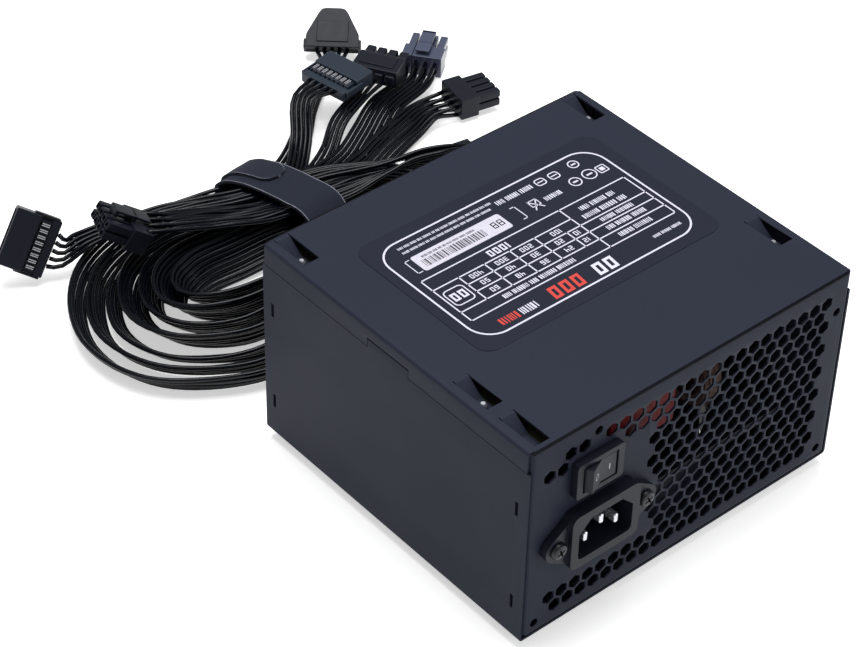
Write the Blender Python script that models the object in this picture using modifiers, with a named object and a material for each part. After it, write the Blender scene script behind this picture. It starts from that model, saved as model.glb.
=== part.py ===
"""ATX power supply unit: folded steel housing, fan, mains inlet, rocker switch, circuit board and flat leads.

Metres, +Z up. The rear panel (inlet and switch) faces -Y and the leads leave at +Y. The unit stands on its
fan guard, so Z = 0 is the guard's underside, and X = Y = 0 is the middle of the footprint without the leads.
"""

import math

import bmesh
import bpy
from mathutils import Matrix, Vector

for item in list(bpy.data.objects):
    bpy.data.objects.remove(item, do_unlink=True)

# ---------------------------------------------------------------- driving sizes
WIDTH = 0.150  # ATX housing, across the rear panel
DEPTH = 0.140
HEIGHT = 0.086
SHEET = 0.0008  # steel thickness
BEND = 0.0014  # outer radius of every fold
GAP = 0.0003  # clearance between neighbouring pieces
FLANGE = 0.0085  # side flange of the top plate
TONGUE_WIDTH = 0.0210  # tongue of the cover in the flange's notch
TONGUE_RISE = 0.0034
TONGUE_Y = 0.0012
RETURN_FLANGE = 0.0085  # inward fold at the foot of the rear and front panels
SIDE_FLANGE = 0.0095  # inward fold at the sides of the rear and front panels

COVER_SCREW_MARGIN = 0.0020  # between the fan's side and the middles of the cover screws
COVER_SCREW_INSET = 0.0045  # from the rear and front faces
CASE_SCREW_INSET = 0.0060  # threaded holes of the rear panel, from its edges
CASE_SCREW_DROP = 0.0160  # the upper right one, from the top
CASE_SCREW_STEP = 0.0300  # the upper left one, from the side
HOOK_RISES = (0.0163, 0.0589)  # locating slots of the sides above the fan plate
HOOK_INSET = 0.0054
HOOK_WIDTH = 0.0015
HOOK_HEIGHT = 0.0060

GUARD_RISE = 0.0040  # fan plate above the lowest wire of the guard
GUARD_WIRE = 0.0016
GUARD_RINGS = 6
GUARD_INNER_RING = 0.0160
GUARD_INSET = 0.0025  # outer ring inside the fan's side
GUARD_LEG_BEND = 0.0047  # from the outer ring to the leg's bend, and along the bend
EYELET_RADIUS = 0.0031

FAN_ROOM = 0.0100  # between the fan's side and the housing's end faces
FAN_DEPTH = 0.025
FAN_RIM = 0.0020  # least width of the frame beside the bore
FAN_HUB = 0.0420
FAN_BLADES = 7
FAN_HOLE_INSET = 0.0075
BLADE_CLEARANCE = 0.0015
BLADE_THICKNESS = 0.0011
FAN_WALL = 0.0017
FAN_FLANGE = 0.0035
FAN_CORNER = 0.0045
MOTOR_BASE = 0.0020
STRUT = 0.0028
STRUT_WIDTH = 0.0040
SHAFT = 0.0015  # radius
HUB_WALL = 0.0020
HUB_RUNNING_GAP = 0.0010  # the cup is this much slimmer than the motor's base, on the radius

SCREW_SHANK = 0.0030
HOLE_CLEARANCE = 0.0006  # on the diameter
SCREW_HEAD = 0.0030  # radius
SCREW_HEAD_HEIGHT = 0.0013
COVER_SCREW_LENGTH = 0.0050
FAN_SCREW_LENGTH = 0.0110
FAN_SCREW_HEAD = 0.0034
INLET_SCREW_LENGTH = 0.0070
INLET_SCREW_HEAD = 0.0032
INLET_SCREW_HEAD_HEIGHT = 0.0017
BOARD_SCREW_END = 0.0020  # tip above the tab it holds

CELL_PITCH = 0.0060  # honeycomb of the rear panel
CELL_SIZE = 0.0050  # across flats
CELL_TOP_INSET = 0.0094  # middles of the top row's holes below the top
CELL_FOOT = 0.0085  # no middle lies lower above the fan plate
CELL_RIGHT_INSET = 0.0120
CELL_LEFT_INSET = 0.0085

WINDOW_WIDTH = 0.0066  # lanced windows of the top plate
WINDOW_LENGTH = 0.0176
WINDOW_FRONT_INSET = 0.0103
WINDOW_REAR_INSET = 0.0342
WINDOW_CORNER_INSET = 0.0115
TAB_DROP = 0.0050
TAB_SIDE_GAP = 0.0004

BOARD_SIDE_ROOM = 0.0040  # between the board and the housing's outer faces
BOARD_END_ROOM = 0.0040
BOARD_HOLE_INSET = 0.0032
BOARD_THICKNESS = 0.0016
INSULATION_SIDE_ROOM = 0.0045  # between the sheet and the windows
INSULATION_END_ROOM = 0.0080  # between the sheet's and the board's edges
INSULATION_THICKNESS = 0.0004
BULK_CAN_RADIUS = 0.0110
BULK_CAN_HEIGHT = 0.0400
OUTPUT_CAN_RADIUS = 0.0050
OUTPUT_CAN_HEIGHT = 0.0220
SINK_HEIGHT = 0.0380
PRIMARY_SINK_LENGTH = 0.0800
SECONDARY_SINK_LENGTH = 0.0700
SINK_Y = 0.0050
SINK_WEB = 0.0024
SINK_FIN = 0.0012
SINK_PITCH = 0.0060
SINK_REACH = 0.0050
BULK_CAN_INSET = 0.0100  # from the board's edge
BULK_CAN_SPACING = 0.0040
CAN_TO_SINK = 0.0050
OUTPUT_INSET = 0.0005
OUTPUT_Y = -0.0100
OUTPUT_TO_SINK = 0.0053
OUTPUT_SPACING = 0.0085
MAINS_ROOM = 0.0120  # for the mains wires, between the inlet's tags and the cans
RED_CASE_WIDTH = 0.0315
RED_CASE_DEPTH = 0.0120
RED_CASE_HEIGHT = 0.0200
CHOKE_THICKNESS = 0.0085
CHOKE_RADIUS = 0.0100
OUTPUT_CHOKE_RADIUS = 0.0095
OUTPUT_CHOKE_THICKNESS = 0.0100
TRANSFORMER_WIDTH = 0.0340
TRANSFORMER_DEPTH = 0.0380
TRANSFORMER_HEIGHT = 0.0310
TRANSFORMER_X = 0.0030
TRANSFORMER_Y = -0.0080
STANDBY_X = -0.0040
STANDBY_Y = 0.0330
STANDBY_WIDTH = 0.0180
STANDBY_HEIGHT = 0.0220
MAINS_LEAD = 0.0048
LOOM_CLEARANCE = 0.0015  # between the wires and the grommet
LOOM_DEPTH = 0.0180  # behind the front panel's face

INLET_INSET = 0.0315  # from the housing's side
INLET_RISE = 0.0395  # above the fan plate
INLET_SCREWS = 0.0400
INLET_EAR = 0.0052
INLET_EAR_THICKNESS = 0.0030
INLET_BOSS_WIDTH = 0.0310
INLET_BOSS_HEIGHT = 0.0240
INLET_BOSS_THICKNESS = 0.0050
INLET_BODY_WIDTH = 0.0270
INLET_BODY_HEIGHT = 0.0195
INLET_BODY_DEPTH = 0.0180
SOCKET_WIDTH = 0.0244
SOCKET_HEIGHT = 0.0169
SOCKET_CORNER = 0.0052
SOCKET_DEPTH = 0.0165
PIN_TAIL = 0.0070  # behind the inlet's body
PIN_WIDTH = 0.0040
PIN_THICKNESS = 0.0020
PIN_SPREAD = 0.0070
EARTH_RISE = 0.0020
LINE_DROP = 0.0020

SWITCH_INSET = 0.0290  # from the housing's side
SWITCH_RISE = 0.0647
BEZEL_WIDTH = 0.0210
BEZEL_HEIGHT = 0.0150
BEZEL_THICKNESS = 0.0030
SWITCH_BODY_WIDTH = 0.0190
SWITCH_BODY_HEIGHT = 0.0130
SWITCH_BODY_DEPTH = 0.0150
ROCKER_RADIUS = 0.0074
ROCKER_HEIGHT = 0.0102
ROCKER_TURN = 12.0  # degrees that the rocker leans to either side
ROCKER_PIVOT = 0.0010  # outside the rear panel
ROCKER_FACE = 0.0035  # ends of the rocker's face in front of its pivot

OUTLET_INSET = 0.0340  # from the housing's side
OUTLET_RISE = 0.0440
OUTLET_WIDTH = 0.0300
OUTLET_HEIGHT = 0.0255
OUTLET_CORNER = 0.0060
GROMMET_WALL = 0.0016
GROMMET_LIP = 0.0022
GROMMET_LIP_DEPTH = 0.0014

LABEL_WIDTH = 0.1120
LABEL_DEPTH = 0.0710
LABEL_X = 0.0020
LABEL_Y = 0.0110
LABEL_CORNER = 0.0060
LABEL_THICKNESS = 0.00015
LABEL_GLUE = 0.00005

WIRE = 0.0019  # one insulated wire of a flat lead
LEAD_START = 0.0022  # first point of the leads outside the front panel
PLUG_ROW = 0.0042  # pitch of the power plugs' contacts
PLUG_HEIGHT = 0.0100
PLUG_LENGTH = 0.0200
BARREL_LENGTH = 0.0080
BARREL_GAP = 0.0006
CONTACT_HOLE = 0.0022
LATCH_WIDTH = 0.0070
LATCH_RISE = 0.0026
DRIVE_PLUG_WIDTH = 0.0240
DRIVE_PLUG_LENGTH = 0.0190
DRIVE_PLUG_THICKNESS = 0.0065
DRIVE_CAP_LENGTH = 0.0080
DRIVE_CAP_THICKNESS = 0.0090
PERIPHERAL_PLUG_WIDTH = 0.0210
PERIPHERAL_PLUG_LENGTH = 0.0220
PERIPHERAL_PLUG_HEIGHT = 0.0090
PERIPHERAL_PITCH = 0.0050
PERIPHERAL_SOCKET = 0.0034
STRAP_WIDTH = 0.0200
STRAP_THICKNESS = 0.0012

# ---------------------------------------------------------------- levels worked out from them
BASE = GUARD_RISE
TOP = BASE + HEIGHT
REAR = -DEPTH / 2
FRONT = DEPTH / 2
SIDE = WIDTH / 2
PANEL_HALF = SIDE - SHEET - GAP  # side flanges of the panels sit inside the cover
PANEL_FOOT = BASE + SHEET + GAP
BOARD_TOP = TOP - TAB_DROP - SHEET - GAP
BOARD_UNDER = BOARD_TOP - BOARD_THICKNESS
PART_TOP = BOARD_UNDER - GAP
FAN_UNDER = BASE + SHEET + GAP
FAN_TOP = FAN_UNDER + FAN_DEPTH
RING_Z = GUARD_WIRE / 2
LEG_Z = RING_Z + 0.8 * GUARD_WIRE  # the legs are welded a little into the rings
EYELET_Z = BASE - GAP - GUARD_WIRE / 2
HUB_BORE = FAN_HUB / 2 - HUB_RUNNING_GAP - HUB_WALL
HUB_BOTTOM = FAN_UNDER + BLADE_CLEARANCE
HUB_FLOOR = HUB_BOTTOM + HUB_WALL
HUB_TOP = FAN_TOP - MOTOR_BASE - BLADE_CLEARANCE
HOLE = (SCREW_SHANK + HOLE_CLEARANCE) / 2
INLET_X = INLET_INSET - SIDE
SWITCH_X = SWITCH_INSET - SIDE
OUTLET_X = SIDE - OUTLET_INSET
OUTLET_LEVEL = BASE + OUTLET_RISE
INLET_TAGS = REAR + INLET_BODY_DEPTH + PIN_TAIL
FAN_SIZE = DEPTH - 2 * FAN_ROOM
FAN_BORE = FAN_SIZE - 2 * FAN_RIM
FAN_HOLES = FAN_SIZE - 2 * FAN_HOLE_INSET
GUARD_OUTER_RING = FAN_SIZE / 2 - GUARD_INSET
COVER_SCREW_X = FAN_SIZE / 2 + COVER_SCREW_MARGIN
BOARD_WIDTH = WIDTH - 2 * BOARD_SIDE_ROOM
BOARD_DEPTH = DEPTH - 2 * BOARD_END_ROOM
WINDOW_X = BOARD_WIDTH / 2 - BOARD_HOLE_INSET
WINDOWS = (  # middle in x and y, and whether a board screw holds its tab
    (-WINDOW_X, FRONT - WINDOW_FRONT_INSET, True),
    (WINDOW_X, FRONT - WINDOW_FRONT_INSET, True),
    (-WINDOW_X, REAR + WINDOW_REAR_INSET, True),
    (WINDOW_X, REAR + WINDOW_REAR_INSET, True),
    (-WINDOW_X, REAR + WINDOW_CORNER_INSET, False),
)
TAB_SCREW_Y = -0.0030  # from the window's middle
CASE_SCREW_X = SIDE - CASE_SCREW_INSET
PANEL_SCREWS = (
    (-CASE_SCREW_X, CASE_SCREW_INSET),
    (CASE_SCREW_X, CASE_SCREW_INSET),
    (CASE_SCREW_X, HEIGHT - CASE_SCREW_DROP),
    (CASE_SCREW_STEP - SIDE, HEIGHT - CASE_SCREW_INSET),
)

ROCKER_LEAN = math.asin(ROCKER_FACE / ROCKER_RADIUS) + math.radians(ROCKER_TURN)
REAR_REACH = DEPTH / 2 + ROCKER_PIVOT + ROCKER_RADIUS * math.sin(ROCKER_LEAN)
FRONT_REACH = DEPTH / 2 + GAP + GROMMET_LIP_DEPTH

parts = bpy.data.collections.new("power_supply_unit")
tools = bpy.data.collections.new("cutters_and_guides")
bpy.context.scene.collection.children.link(parts)
bpy.context.scene.collection.children.link(tools)


# ---------------------------------------------------------------- materials
def material(name, colour, roughness, metallic=0.0):
    """A plain Principled material."""
    made = bpy.data.materials.new(name)
    made.use_nodes = True
    shader = made.node_tree.nodes["Principled BSDF"]
    shader.inputs["Base Color"].default_value = (*colour, 1.0)
    shader.inputs["Roughness"].default_value = roughness
    shader.inputs["Metallic"].default_value = metallic
    return made


POWDER_COAT = material("black_powder_coat", (0.034, 0.036, 0.050), 0.55)
BLACK_PLASTIC = material("black_plastic", (0.012, 0.013, 0.018), 0.40)
LEAD_JACKET = material("black_lead_jacket", (0.008, 0.009, 0.013), 0.32)
STRAP_CLOTH = material("grey_strap", (0.040, 0.046, 0.060), 0.85)
BRIGHT_STEEL = material("bright_steel", (0.72, 0.72, 0.72), 0.28, 1.0)
BLACK_STEEL = material("black_steel", (0.03, 0.03, 0.035), 0.40, 1.0)
ALUMINIUM = material("aluminium", (0.70, 0.71, 0.72), 0.35, 1.0)
BOARD_GREEN = material("circuit_board", (0.10, 0.075, 0.03), 0.55)
RED_CASE = material("red_capacitor_case", (0.45, 0.02, 0.02), 0.45)
SLEEVE = material("capacitor_sleeve", (0.02, 0.02, 0.03), 0.35)
CORE_TAPE = material("yellow_core_tape", (0.65, 0.50, 0.05), 0.5)
COPPER = material("enamelled_copper", (0.55, 0.22, 0.07), 0.35, 0.8)
FISH_PAPER = material("insulation_sheet", (0.55, 0.54, 0.48), 0.5)
LABEL_FILM = material("label_film", (0.022, 0.023, 0.032), 0.35)


# ---------------------------------------------------------------- shape helpers
def add(name, data, finish, place=Matrix.Identity(4), into=parts):
    """An object for a mesh or a curve, placed and coloured."""
    thing = bpy.data.objects.new(name, data)
    thing.matrix_world = place
    if finish:
        data.materials.append(finish)
    into.objects.link(thing)
    return thing


def from_bmesh(name, bm, finish, place=Matrix.Identity(4)):
    mesh = bpy.data.meshes.new(name)
    bmesh.ops.recalc_face_normals(bm, faces=bm.faces)
    bm.to_mesh(mesh)
    bm.free()
    return add(name, mesh, finish, place)


def boolean(target, tool, operation):
    """Cuts, joins or trims the target with a tool that stays hidden."""
    if tool.name in parts.objects:
        parts.objects.unlink(tool)
        tools.objects.link(tool)
    tool.hide_render = True
    tool.display_type = "WIRE"
    step = target.modifiers.new(f"{operation.lower()}_{tool.name}", "BOOLEAN")
    step.operation = operation
    step.object = tool
    return target


def cut(target, *cutters):
    for cutter in cutters:
        boolean(target, cutter, "DIFFERENCE")
    return target


def join(target, *others):
    for other in others:
        boolean(target, other, "UNION")
    return target


def box(name, low, high, finish=None):
    bm = bmesh.new()
    bmesh.ops.create_cube(bm, size=1.0)
    low, high = Vector(low), Vector(high)
    bmesh.ops.transform(bm, matrix=Matrix.LocRotScale((low + high) / 2, None, high - low), verts=bm.verts)
    return from_bmesh(name, bm, finish)


def along(axis):
    """Turns local +Z to the axis X, Y or Z (or -X, -Y, -Z); on Y the local X stays X."""
    return {
        "X": Matrix.Rotation(math.pi / 2, 4, "Y"),
        "-X": Matrix.Rotation(-math.pi / 2, 4, "Y"),
        "Y": Matrix.Rotation(-math.pi / 2, 4, "X"),
        "-Y": Matrix.Rotation(math.pi / 2, 4, "X"),
        "Z": Matrix.Identity(4),
        "-Z": Matrix.Rotation(math.pi, 4, "X"),
    }[axis]


def rod(name, start, axis, length, radius, sides=16, finish=None, end_radius=None):
    """A cylinder or cone from its start point along an axis."""
    bm = bmesh.new()
    bmesh.ops.create_cone(
        bm,
        cap_ends=True,
        segments=sides,
        radius1=radius,
        radius2=radius if end_radius is None else end_radius,
        depth=length,
        matrix=Matrix.Translation((0, 0, length / 2)),
    )
    return from_bmesh(name, bm, finish, Matrix.Translation(start) @ along(axis))


def turned(name, profile, place, finish, steps=12):
    """A turned piece: (radius, height) points from its top on the axis to its bottom on the axis."""
    mesh = bpy.data.meshes.new(name)
    rim = [(radius, 0.0, height) for radius, height in profile]
    mesh.from_pydata(rim, [(i, i + 1) for i in range(len(rim) - 1)], [])
    thing = add(name, mesh, finish, place)
    spin = thing.modifiers.new("turn", "SCREW")
    spin.steps = steps
    spin.render_steps = steps
    spin.use_merge_vertices = True
    spin.merge_threshold = 0.00001
    return thing


def arc(centre, radius, start, end, steps):
    """Points of an arc, angles in degrees, both ends included."""
    angles = [math.radians(start + (end - start) * i / steps) for i in range(steps + 1)]
    return [(centre[0] + radius * math.cos(a), centre[1] + radius * math.sin(a)) for a in angles]


def rounded_rectangle(width, height, corner, steps=4, centre=(0.0, 0.0)):
    x, y = width / 2 - corner, height / 2 - corner
    points = []
    for sign_x, sign_y, start in ((1, 1, 0), (-1, 1, 90), (-1, -1, 180), (1, -1, 270)):
        middle = (centre[0] + sign_x * x, centre[1] + sign_y * y)
        points += arc(middle, corner, start, start + 90, steps)
    return points


def plate(name, outlines, thickness, place, finish=None):
    """Flat outlines, the later ones holes, given a thickness about their plane and made a mesh."""
    curve = bpy.data.curves.new(name, "CURVE")
    curve.dimensions = "2D"
    curve.fill_mode = "BOTH"
    curve.extrude = thickness / 2
    for outline in outlines:
        spline = curve.splines.new("POLY")
        spline.points.add(len(outline) - 1)
        for point, (x, y) in zip(spline.points, outline):
            point.co = (x, y, 0.0, 1.0)
        spline.use_cyclic_u = True
    return meshed(add(name, curve, None, place), finish)


def meshed(curve_object, finish):
    """The same piece as a mesh with its caps welded, so that it can be cut or joined."""
    bpy.context.view_layer.update()
    name, place = curve_object.name, curve_object.matrix_world.copy()
    evaluated = curve_object.evaluated_get(bpy.context.evaluated_depsgraph_get())
    mesh = bpy.data.meshes.new_from_object(evaluated)
    mesh.materials.clear()
    bpy.data.objects.remove(curve_object, do_unlink=True)
    bm = bmesh.new()
    bm.from_mesh(mesh)
    bmesh.ops.remove_doubles(bm, verts=bm.verts, dist=0.000001)
    bmesh.ops.recalc_face_normals(bm, faces=bm.faces)
    bm.to_mesh(mesh)
    bm.free()
    return add(name, mesh, finish, place)


def facing(axis, at):
    """Places a flat outline: on Y it lies in X and Z, on X in Y and Z, on Z in X and Y, at a level."""
    if axis == "Y":
        return Matrix.Translation((0, at, 0)) @ along("-Y")
    if axis == "X":
        turn = Matrix(((0, 0, 1, 0), (1, 0, 0, 0), (0, 1, 0, 0), (0, 0, 0, 1)))
        return Matrix.Translation((at, 0, 0)) @ turn
    return Matrix.Translation((0, 0, at))


def bent(corners, radius, steps=3):
    """An open line with each inner corner rounded to the bend radius."""
    points = [Vector(corners[0])]
    for before, corner, after in zip(corners, corners[1:], corners[2:]):
        corner = Vector(corner)
        into = (Vector(before) - corner).normalized()
        out = (Vector(after) - corner).normalized()
        half = into.angle(out) / 2
        reach = radius / math.tan(half)
        middle = corner + (into + out).normalized() * radius / math.sin(half)
        first = corner + into * reach - middle
        last = corner + out * reach - middle
        for i in range(steps + 1):
            points.append(middle + first.slerp(last, i / steps) * radius)
    points.append(Vector(corners[-1]))
    return points


def folded(name, corners, across, start, end, finish=None, radius=BEND, outward=None):
    """Folded sheet: an outer outline with its bends, drawn along an axis and thickened inwards.

    Its widest face looks away from its middle, or to the outward side where that is given.
    """
    placed = {
        "X": lambda s, p: (s, p[0], p[1]),
        "Y": lambda s, p: (p[0], s, p[1]),
        "Z": lambda s, p: (p[0], p[1], s),
    }
    line = bent(corners, radius)
    bm = bmesh.new()
    edge = [bm.verts.new(placed[across](start, p)) for p in line]
    edges = [bm.edges.new(pair) for pair in zip(edge, edge[1:])]
    drawn = bmesh.ops.extrude_edge_only(bm, edges=edges)["geom"]
    shift = Vector(placed[across](end, (0, 0))) - Vector(placed[across](start, (0, 0)))
    bmesh.ops.translate(bm, verts=[v for v in drawn if isinstance(v, bmesh.types.BMVert)], vec=shift)
    bmesh.ops.recalc_face_normals(bm, faces=bm.faces)
    centre = sum((v.co for v in bm.verts), Vector()) / len(bm.verts)
    widest = max(bm.faces, key=lambda face: face.calc_area())
    side = outward or widest.calc_center_median() - centre
    if side.dot(widest.normal) < 0:
        bmesh.ops.reverse_faces(bm, faces=bm.faces)
    mesh = bpy.data.meshes.new(name)
    bm.to_mesh(mesh)
    bm.free()
    thing = add(name, mesh, finish)
    wall = thing.modifiers.new("sheet", "SOLIDIFY")
    wall.thickness = SHEET
    wall.offset = -1.0
    wall.use_even_offset = True
    return thing


def tube(name, points, radius, finish, resolution=2):
    """A round wire through smooth points."""
    curve = bpy.data.curves.new(name, "CURVE")
    curve.dimensions = "3D"
    curve.bevel_depth = radius
    curve.bevel_resolution = resolution
    curve.use_fill_caps = True
    spline = curve.splines.new("POLY")
    spline.points.add(len(points) - 1)
    for point, place in zip(spline.points, points):
        point.co = (*place[:3], 1.0)
    return add(name, curve, finish)


def smooth(route, samples):
    """Points read evenly from a curve through the route's own points (centripetal Catmull-Rom)."""
    route = [Vector(point) for point in route]
    route = [2 * route[0] - route[1], *route, 2 * route[-1] - route[-2]]
    fine = []
    for a, b, c, d in zip(route, route[1:], route[2:], route[3:]):
        t1 = (b - a).xyz.length ** 0.5
        t2 = t1 + (c - b).xyz.length ** 0.5
        t3 = t2 + (d - c).xyz.length ** 0.5
        for i in range(16):
            t = t1 + (t2 - t1) * i / 16
            ab = a + (b - a) * (t / t1)
            bc = b + (c - b) * ((t - t1) / (t2 - t1))
            cd = c + (d - c) * ((t - t2) / (t3 - t2))
            abc = ab + (bc - ab) * (t / t2)
            bcd = bc + (cd - bc) * ((t - t1) / (t3 - t1))
            fine.append(abc + (bcd - abc) * ((t - t1) / (t2 - t1)))
    fine.append(route[-2])
    lengths = [0.0]
    for a, b in zip(fine, fine[1:]):
        lengths.append(lengths[-1] + (b - a).xyz.length)
    read = []
    spot = 0
    for i in range(samples):
        goal = lengths[-1] * i / (samples - 1)
        while spot < len(fine) - 2 and lengths[spot + 1] < goal:
            spot += 1
        share = (goal - lengths[spot]) / (lengths[spot + 1] - lengths[spot])
        read.append(fine[spot].lerp(fine[spot + 1], share))
    return read


# ---------------------------------------------------------------- housing
def open_cells():
    """Middles of the honeycomb's holes: rows half a pitch apart, clear of the screws, inlet and switch."""
    row_pitch = CELL_PITCH * math.sqrt(3) / 2
    screw_x, screw_z = PANEL_SCREWS[3]
    plain = (  # left, foot, right, head of the areas without holes
        (INLET_X - 0.0280, INLET_RISE - 0.0225, INLET_X + 0.0240, SWITCH_RISE + 0.0043),
        (SWITCH_X - 0.0110, SWITCH_RISE + 0.0043, SWITCH_X + 0.0130, SWITCH_RISE + 0.0093),
        (INLET_X + 0.0240, INLET_RISE - 0.0225, INLET_X + 0.0270, INLET_RISE - 0.0175),
        (screw_x - 0.0200, screw_z - 0.0060, screw_x - 0.0160, screw_z),
    )
    kept_clear = [(x, z, CELL_PITCH - 0.0005) for x, z in PANEL_SCREWS]
    kept_clear.append((INLET_X + INLET_SCREWS / 2, INLET_RISE, CELL_PITCH - 0.0004))
    cells = []
    z, shifted = HEIGHT - CELL_TOP_INSET, 0
    while z > CELL_FOOT:
        x = SIDE - CELL_RIGHT_INSET - shifted * CELL_PITCH / 2
        while x > CELL_LEFT_INSET - SIDE:
            boxed = any(left < x < right and foot < z < head for left, foot, right, head in plain)
            near = any(math.hypot(x - a, z - b) < reach for a, b, reach in kept_clear)
            if not boxed and not near:
                cells.append((x, z))
            x -= CELL_PITCH
        z -= row_pitch
        shifted = 1 - shifted
    return cells


def honeycomb_cutter():
    """All the hexagonal punches of the rear panel, points up."""
    bm = bmesh.new()
    corner_radius = CELL_SIZE / math.sqrt(3)
    for x, z in open_cells():
        place = Matrix.Translation((x, REAR, BASE + z)) @ Matrix.Rotation(math.pi / 2, 4, "X")
        bmesh.ops.create_cone(
            bm,
            cap_ends=True,
            segments=6,
            radius1=corner_radius,
            radius2=corner_radius,
            depth=6 * SHEET,
            matrix=place,
        )
    return from_bmesh("honeycomb_punches", bm, None)


def window_tab(x, y, index):
    """The tongue lanced out of a window: it ramps down from the window's front end and then runs level."""
    far = y + WINDOW_LENGTH / 2
    low = TOP - TAB_DROP
    outline = (
        (y - WINDOW_LENGTH / 2 + 0.0015, low),
        (y + 0.0005, low),
        (far - 0.0012, TOP),
        (far + 0.0010, TOP),
    )
    half = WINDOW_WIDTH / 2 - TAB_SIDE_GAP
    up = Vector((0, 0, 1))
    return folded(f"window_tab_{index}", outline, "X", x - half, x + half, radius=0.0010, outward=up)


def make_chassis():
    """Top plate with lanced tabs and side flanges, and the rear and front panels folded from it."""
    inner_half = PANEL_HALF - BEND
    shell = folded(
        "chassis",
        (
            (FRONT - RETURN_FLANGE, PANEL_FOOT),
            (FRONT, PANEL_FOOT),
            (FRONT, TOP),
            (REAR, TOP),
            (REAR, PANEL_FOOT),
            (REAR + RETURN_FLANGE, PANEL_FOOT),
        ),
        "X",
        -inner_half,
        inner_half,
        POWDER_COAT,
    )
    skirt = folded(
        "side_skirts",
        ((SIDE, TOP - FLANGE), (SIDE, TOP), (-SIDE, TOP), (-SIDE, TOP - FLANGE)),
        "Y",
        REAR + BEND,
        FRONT - BEND,
    )
    join(shell, skirt)
    foot = PANEL_FOOT + BEND
    head = TOP - SHEET / 2
    for name, level, inward in (("rear", REAR, 1), ("front", FRONT, -1)):
        end = level + inward * SIDE_FLANGE
        outline = ((-PANEL_HALF, end), (-PANEL_HALF, level), (PANEL_HALF, level), (PANEL_HALF, end))
        join(shell, folded(f"{name}_side_folds", outline, "Z", foot, head))
    for index, (x, y, _) in enumerate(WINDOWS, 1):
        half_w, half_l = WINDOW_WIDTH / 2, WINDOW_LENGTH / 2
        low = (x - half_w, y - half_l, TOP - 3 * SHEET)
        cut(shell, box(f"window_{index}", low, (x + half_w, y + half_l, TOP + SHEET)))
    for index, (x, y, _) in enumerate(WINDOWS, 1):
        join(shell, window_tab(x, y, index))
    notch = TONGUE_WIDTH / 2 + GAP
    for side in (-1, 1):
        low = (side * SIDE - 2 * SHEET, TONGUE_Y - notch, TOP - FLANGE - SHEET)
        high = (side * SIDE + 2 * SHEET, TONGUE_Y + notch, TOP - FLANGE + TONGUE_RISE + GAP)
        cut(shell, box(f"notch_{'left' if side < 0 else 'right'}", low, high))
    cut(shell, *chassis_holes())
    return shell


def chassis_holes():
    """Punched holes: honeycomb, screw holes, inlet, switch, cable outlet and tab screws."""
    holes = [honeycomb_cutter()]
    for index, (x, rise) in enumerate(PANEL_SCREWS, 1):
        start = (x, REAR - SHEET, BASE + rise)
        holes.append(rod(f"case_screw_hole_{index}", start, "Y", 4 * SHEET, HOLE, 12))
    for index, (x, y, screwed) in enumerate(WINDOWS, 1):
        if screwed:
            start = (x, y + TAB_SCREW_Y, TOP - TAB_DROP - 2 * SHEET)
            holes.append(rod(f"tab_screw_hole_{index}", start, "Z", 3 * SHEET, HOLE, 10))
    for side in (-1, 1):
        for end in (-1, 1):
            start = (side * COVER_SCREW_X, end * (FRONT - COVER_SCREW_INSET), BASE)
            name = f"foot_screw_hole_{'l' if side < 0 else 'r'}{'r' if end < 0 else 'f'}"
            holes.append(rod(name, start, "Z", 4 * SHEET, HOLE, 10))
    for side in (-1, 1):
        start = (INLET_X + side * INLET_SCREWS / 2, REAR - SHEET, BASE + INLET_RISE)
        name = f"inlet_screw_hole_{'l' if side < 0 else 'r'}"
        holes.append(rod(name, start, "Y", 4 * SHEET, HOLE, 10))
    clear = 2 * GAP
    inlet = rounded_rectangle(INLET_BODY_WIDTH + clear, INLET_BODY_HEIGHT + clear, 0.0015, 1)
    switch = rounded_rectangle(SWITCH_BODY_WIDTH + clear, SWITCH_BODY_HEIGHT + clear, 0.0010, 1)
    outlet = rounded_rectangle(OUTLET_WIDTH, OUTLET_HEIGHT, OUTLET_CORNER)
    for name, outline, x, rise, level in (
        ("inlet_cutout", inlet, INLET_X, INLET_RISE, REAR),
        ("switch_cutout", switch, SWITCH_X, SWITCH_RISE, REAR),
        ("outlet_cutout", outlet, OUTLET_X, OUTLET_RISE, FRONT),
    ):
        moved = [(x + a, BASE + rise + b) for a, b in outline]
        holes.append(plate(name, [moved], 6 * SHEET, facing("Y", level)))
    for inward in (-1, 1):
        for rise in HOOK_RISES:
            y = inward * (FRONT - HOOK_INSET)
            low = (-SIDE - SHEET, y - HOOK_WIDTH / 2, BASE + rise - HOOK_HEIGHT / 2)
            high = (SIDE + SHEET, y + HOOK_WIDTH / 2, BASE + rise + HOOK_HEIGHT / 2)
            name = f"locating_slots_{'r' if inward < 0 else 'f'}{round(rise * 1000)}"
            holes.append(box(name, low, high))
    return holes


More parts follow.
